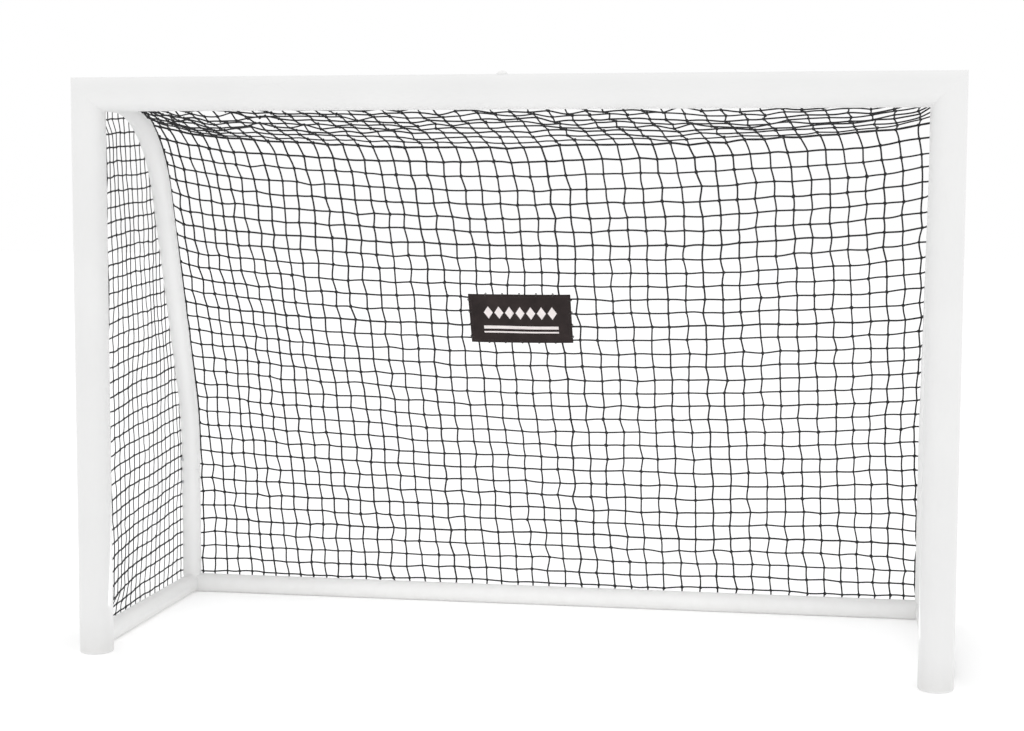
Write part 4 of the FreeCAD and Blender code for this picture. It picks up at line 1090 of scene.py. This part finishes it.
COAT = powder_coat()
CAP = plastic("cap_plastic_grain", dark=(0.76, 0.76, 0.755), light=(0.81, 0.81, 0.805),
              rough=0.42)
CLIP = plastic("clip_plastic_grain", dark=(0.70, 0.70, 0.69), light=(0.77, 0.77, 0.765),
               rough=0.4)
BUTTON = plastic("button_plastic_grain", dark=(0.78, 0.78, 0.775), light=(0.83, 0.83, 0.825),
                 rough=0.3, grain_scale=600.0, strength=0.2)
ZINC = steel("zinc_plate", base=(0.62, 0.63, 0.65), rough=0.28)
INNER = steel("inner_zinc", base=(0.55, 0.56, 0.57), rough=0.36, stretch=(1, 1, 6))
SPRING = steel("spring_wire", base=(0.5, 0.5, 0.52), rough=0.22)
# each twine's dark colour is mostly painted shade for the grooves between strands, its light
# colour the strand crests
NET = twine("net_twine", dark=(0.010, 0.010, 0.011), light=(0.030, 0.030, 0.032), pitch=4.2)
SEAM = twine("seam_twine", dark=(0.010, 0.010, 0.011), light=(0.028, 0.028, 0.030), pitch=5.5)
THREAD = twine("embroidery_thread", dark=(0.80, 0.74, 0.73), light=(0.93, 0.88, 0.87),
               pitch=1.4, strands=2.0)
HEM_THREAD = twine("hem_thread", dark=(0.03, 0.025, 0.024), light=(0.07, 0.06, 0.058),
                   pitch=1.2, strands=2.0)
CLOTH = woven_cloth()

SLOT_MATERIALS = {
    "frame_coat": COAT, "inner_steel": INNER, "screw_steel": ZINC, "spring_steel": SPRING,
    "cap_plastic": CAP, "button_plastic": BUTTON, "clip_plastic": CLIP,
    "net_cord": NET, "badge_cloth": CLOTH}
for part in frame["record"]["subparts"]:
    materials = frame["nodes"][part["node"]].data.materials
    materials.clear()
    materials.append(SLOT_MATERIALS[part["material_slot"]])

# Object, material, slot and the CAD pieces it replaces
DETAILED_PIECES = (
    (roof_ob, NET, "net_cord", ["net_roof"]),
    (back_ob, NET, "net_cord", ["net_back"]),
    (knots_ob, NET, "net_cord", []),
    (left_ob, NET, "net_cord", ["net_side_left"]),
    (right_ob, NET, "net_cord", ["net_side_right"]),
    (seam_ob, SEAM, "net_cord", ["net_seam_cords"]),
    (edge_ob, SEAM, "net_cord", ["net_edge_cord"]),
    (badge_ob, CLOTH, "badge_cloth", ["net_badge"]),
    (embroidery_ob, THREAD, "badge_cloth", []),
    (stitches_ob, HEM_THREAD, "badge_cloth", []),
)
for ob, material, slot, replaced in DETAILED_PIECES:
    ob.data.materials.append(material)
    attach(ob, "frame")
    if replaced:
        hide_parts(*replaced)


# ------------------------------------------------------------ floor, light, camera (metres)
def studio_floor():
    half = 30.0
    mesh = bpy.data.meshes.new("studio_floor")
    corners = [(-half, -half, 0), (half, -half, 0), (half, half, 0), (-half, half, 0)]
    mesh.from_pydata(corners, [], [(0, 1, 2, 3)])
    ob = link_object("studio_floor", mesh)
    mesh.materials.append(floor_paper())


def white_world():
    world = bpy.data.worlds.new("studio")
    bpy.context.scene.world = world
    world.use_nodes = True
    background = world.node_tree.nodes["Background"]
    background.inputs["Color"].default_value = (1.0, 1.0, 1.0, 1)
    background.inputs["Strength"].default_value = 1.0


def softbox(name, location, target, size, power):
    light = bpy.data.lights.new(name, "AREA")
    light.shape = "RECTANGLE"
    light.size, light.size_y = size
    light.energy = power
    ob = link_object(name, light)
    ob.location = location
    aim = Vector(target) - Vector(location)
    ob.rotation_euler = aim.to_track_quat("-Z", "Y").to_euler()
    return ob


def photo_camera():
    camera = bpy.data.cameras.new("photo_camera")
    camera.sensor_width = 36.0
    camera.lens = 65.4328125
    camera.clip_end = 200.0
    # radians: turned left, tipped down, and rolled a little
    yaw, pitch, roll = 0.1681, 0.08624, 0.0035
    x, y, z = np.array([643.88, POST_Y - 3664.44, 942.3]) * MM
    forward = np.array([-math.sin(yaw) * math.cos(pitch), math.cos(yaw) * math.cos(pitch),
                        -math.sin(pitch)])
    level = np.array([math.cos(yaw), math.sin(yaw), 0.0])
    upright = np.cross(level, forward)
    right = math.cos(roll) * level + math.sin(roll) * upright
    up = -math.sin(roll) * level + math.cos(roll) * upright
    ob = bpy.data.objects.new("photo_camera", camera)
    ob.matrix_world = Matrix((
        (right[0], up[0], -forward[0], x),
        (right[1], up[1], -forward[1], y),
        (right[2], up[2], -forward[2], z),
        (0, 0, 0, 1)))
    bpy.context.scene.collection.objects.link(ob)
    bpy.context.scene.camera = ob


studio_floor()
white_world()
softbox("top_softbox", location=(0.0, 0.2, 4.4), target=(0, 0, 0), size=(5.0, 4.0), power=14.0)
softbox("key_softbox", location=(2.2, -3.4, 2.6), target=(0, 0, 0.5), size=(3.0, 2.0),
        power=6.0)
# a soft panel standing in the goal mouth lights the inside of the goal
mouth = softbox("mouth_softbox", location=(0.0, POST_Y * MM + 0.02, 0.55),
                target=(0.0, 1.0, 0.45), size=(1.7, 0.9), power=3.0)
mouth.visible_camera = False
mouth.visible_glossy = False
photo_camera()
bpy.context.scene.view_settings.view_transform = "Standard"
bpy.context.scene.view_settings.look = "None"
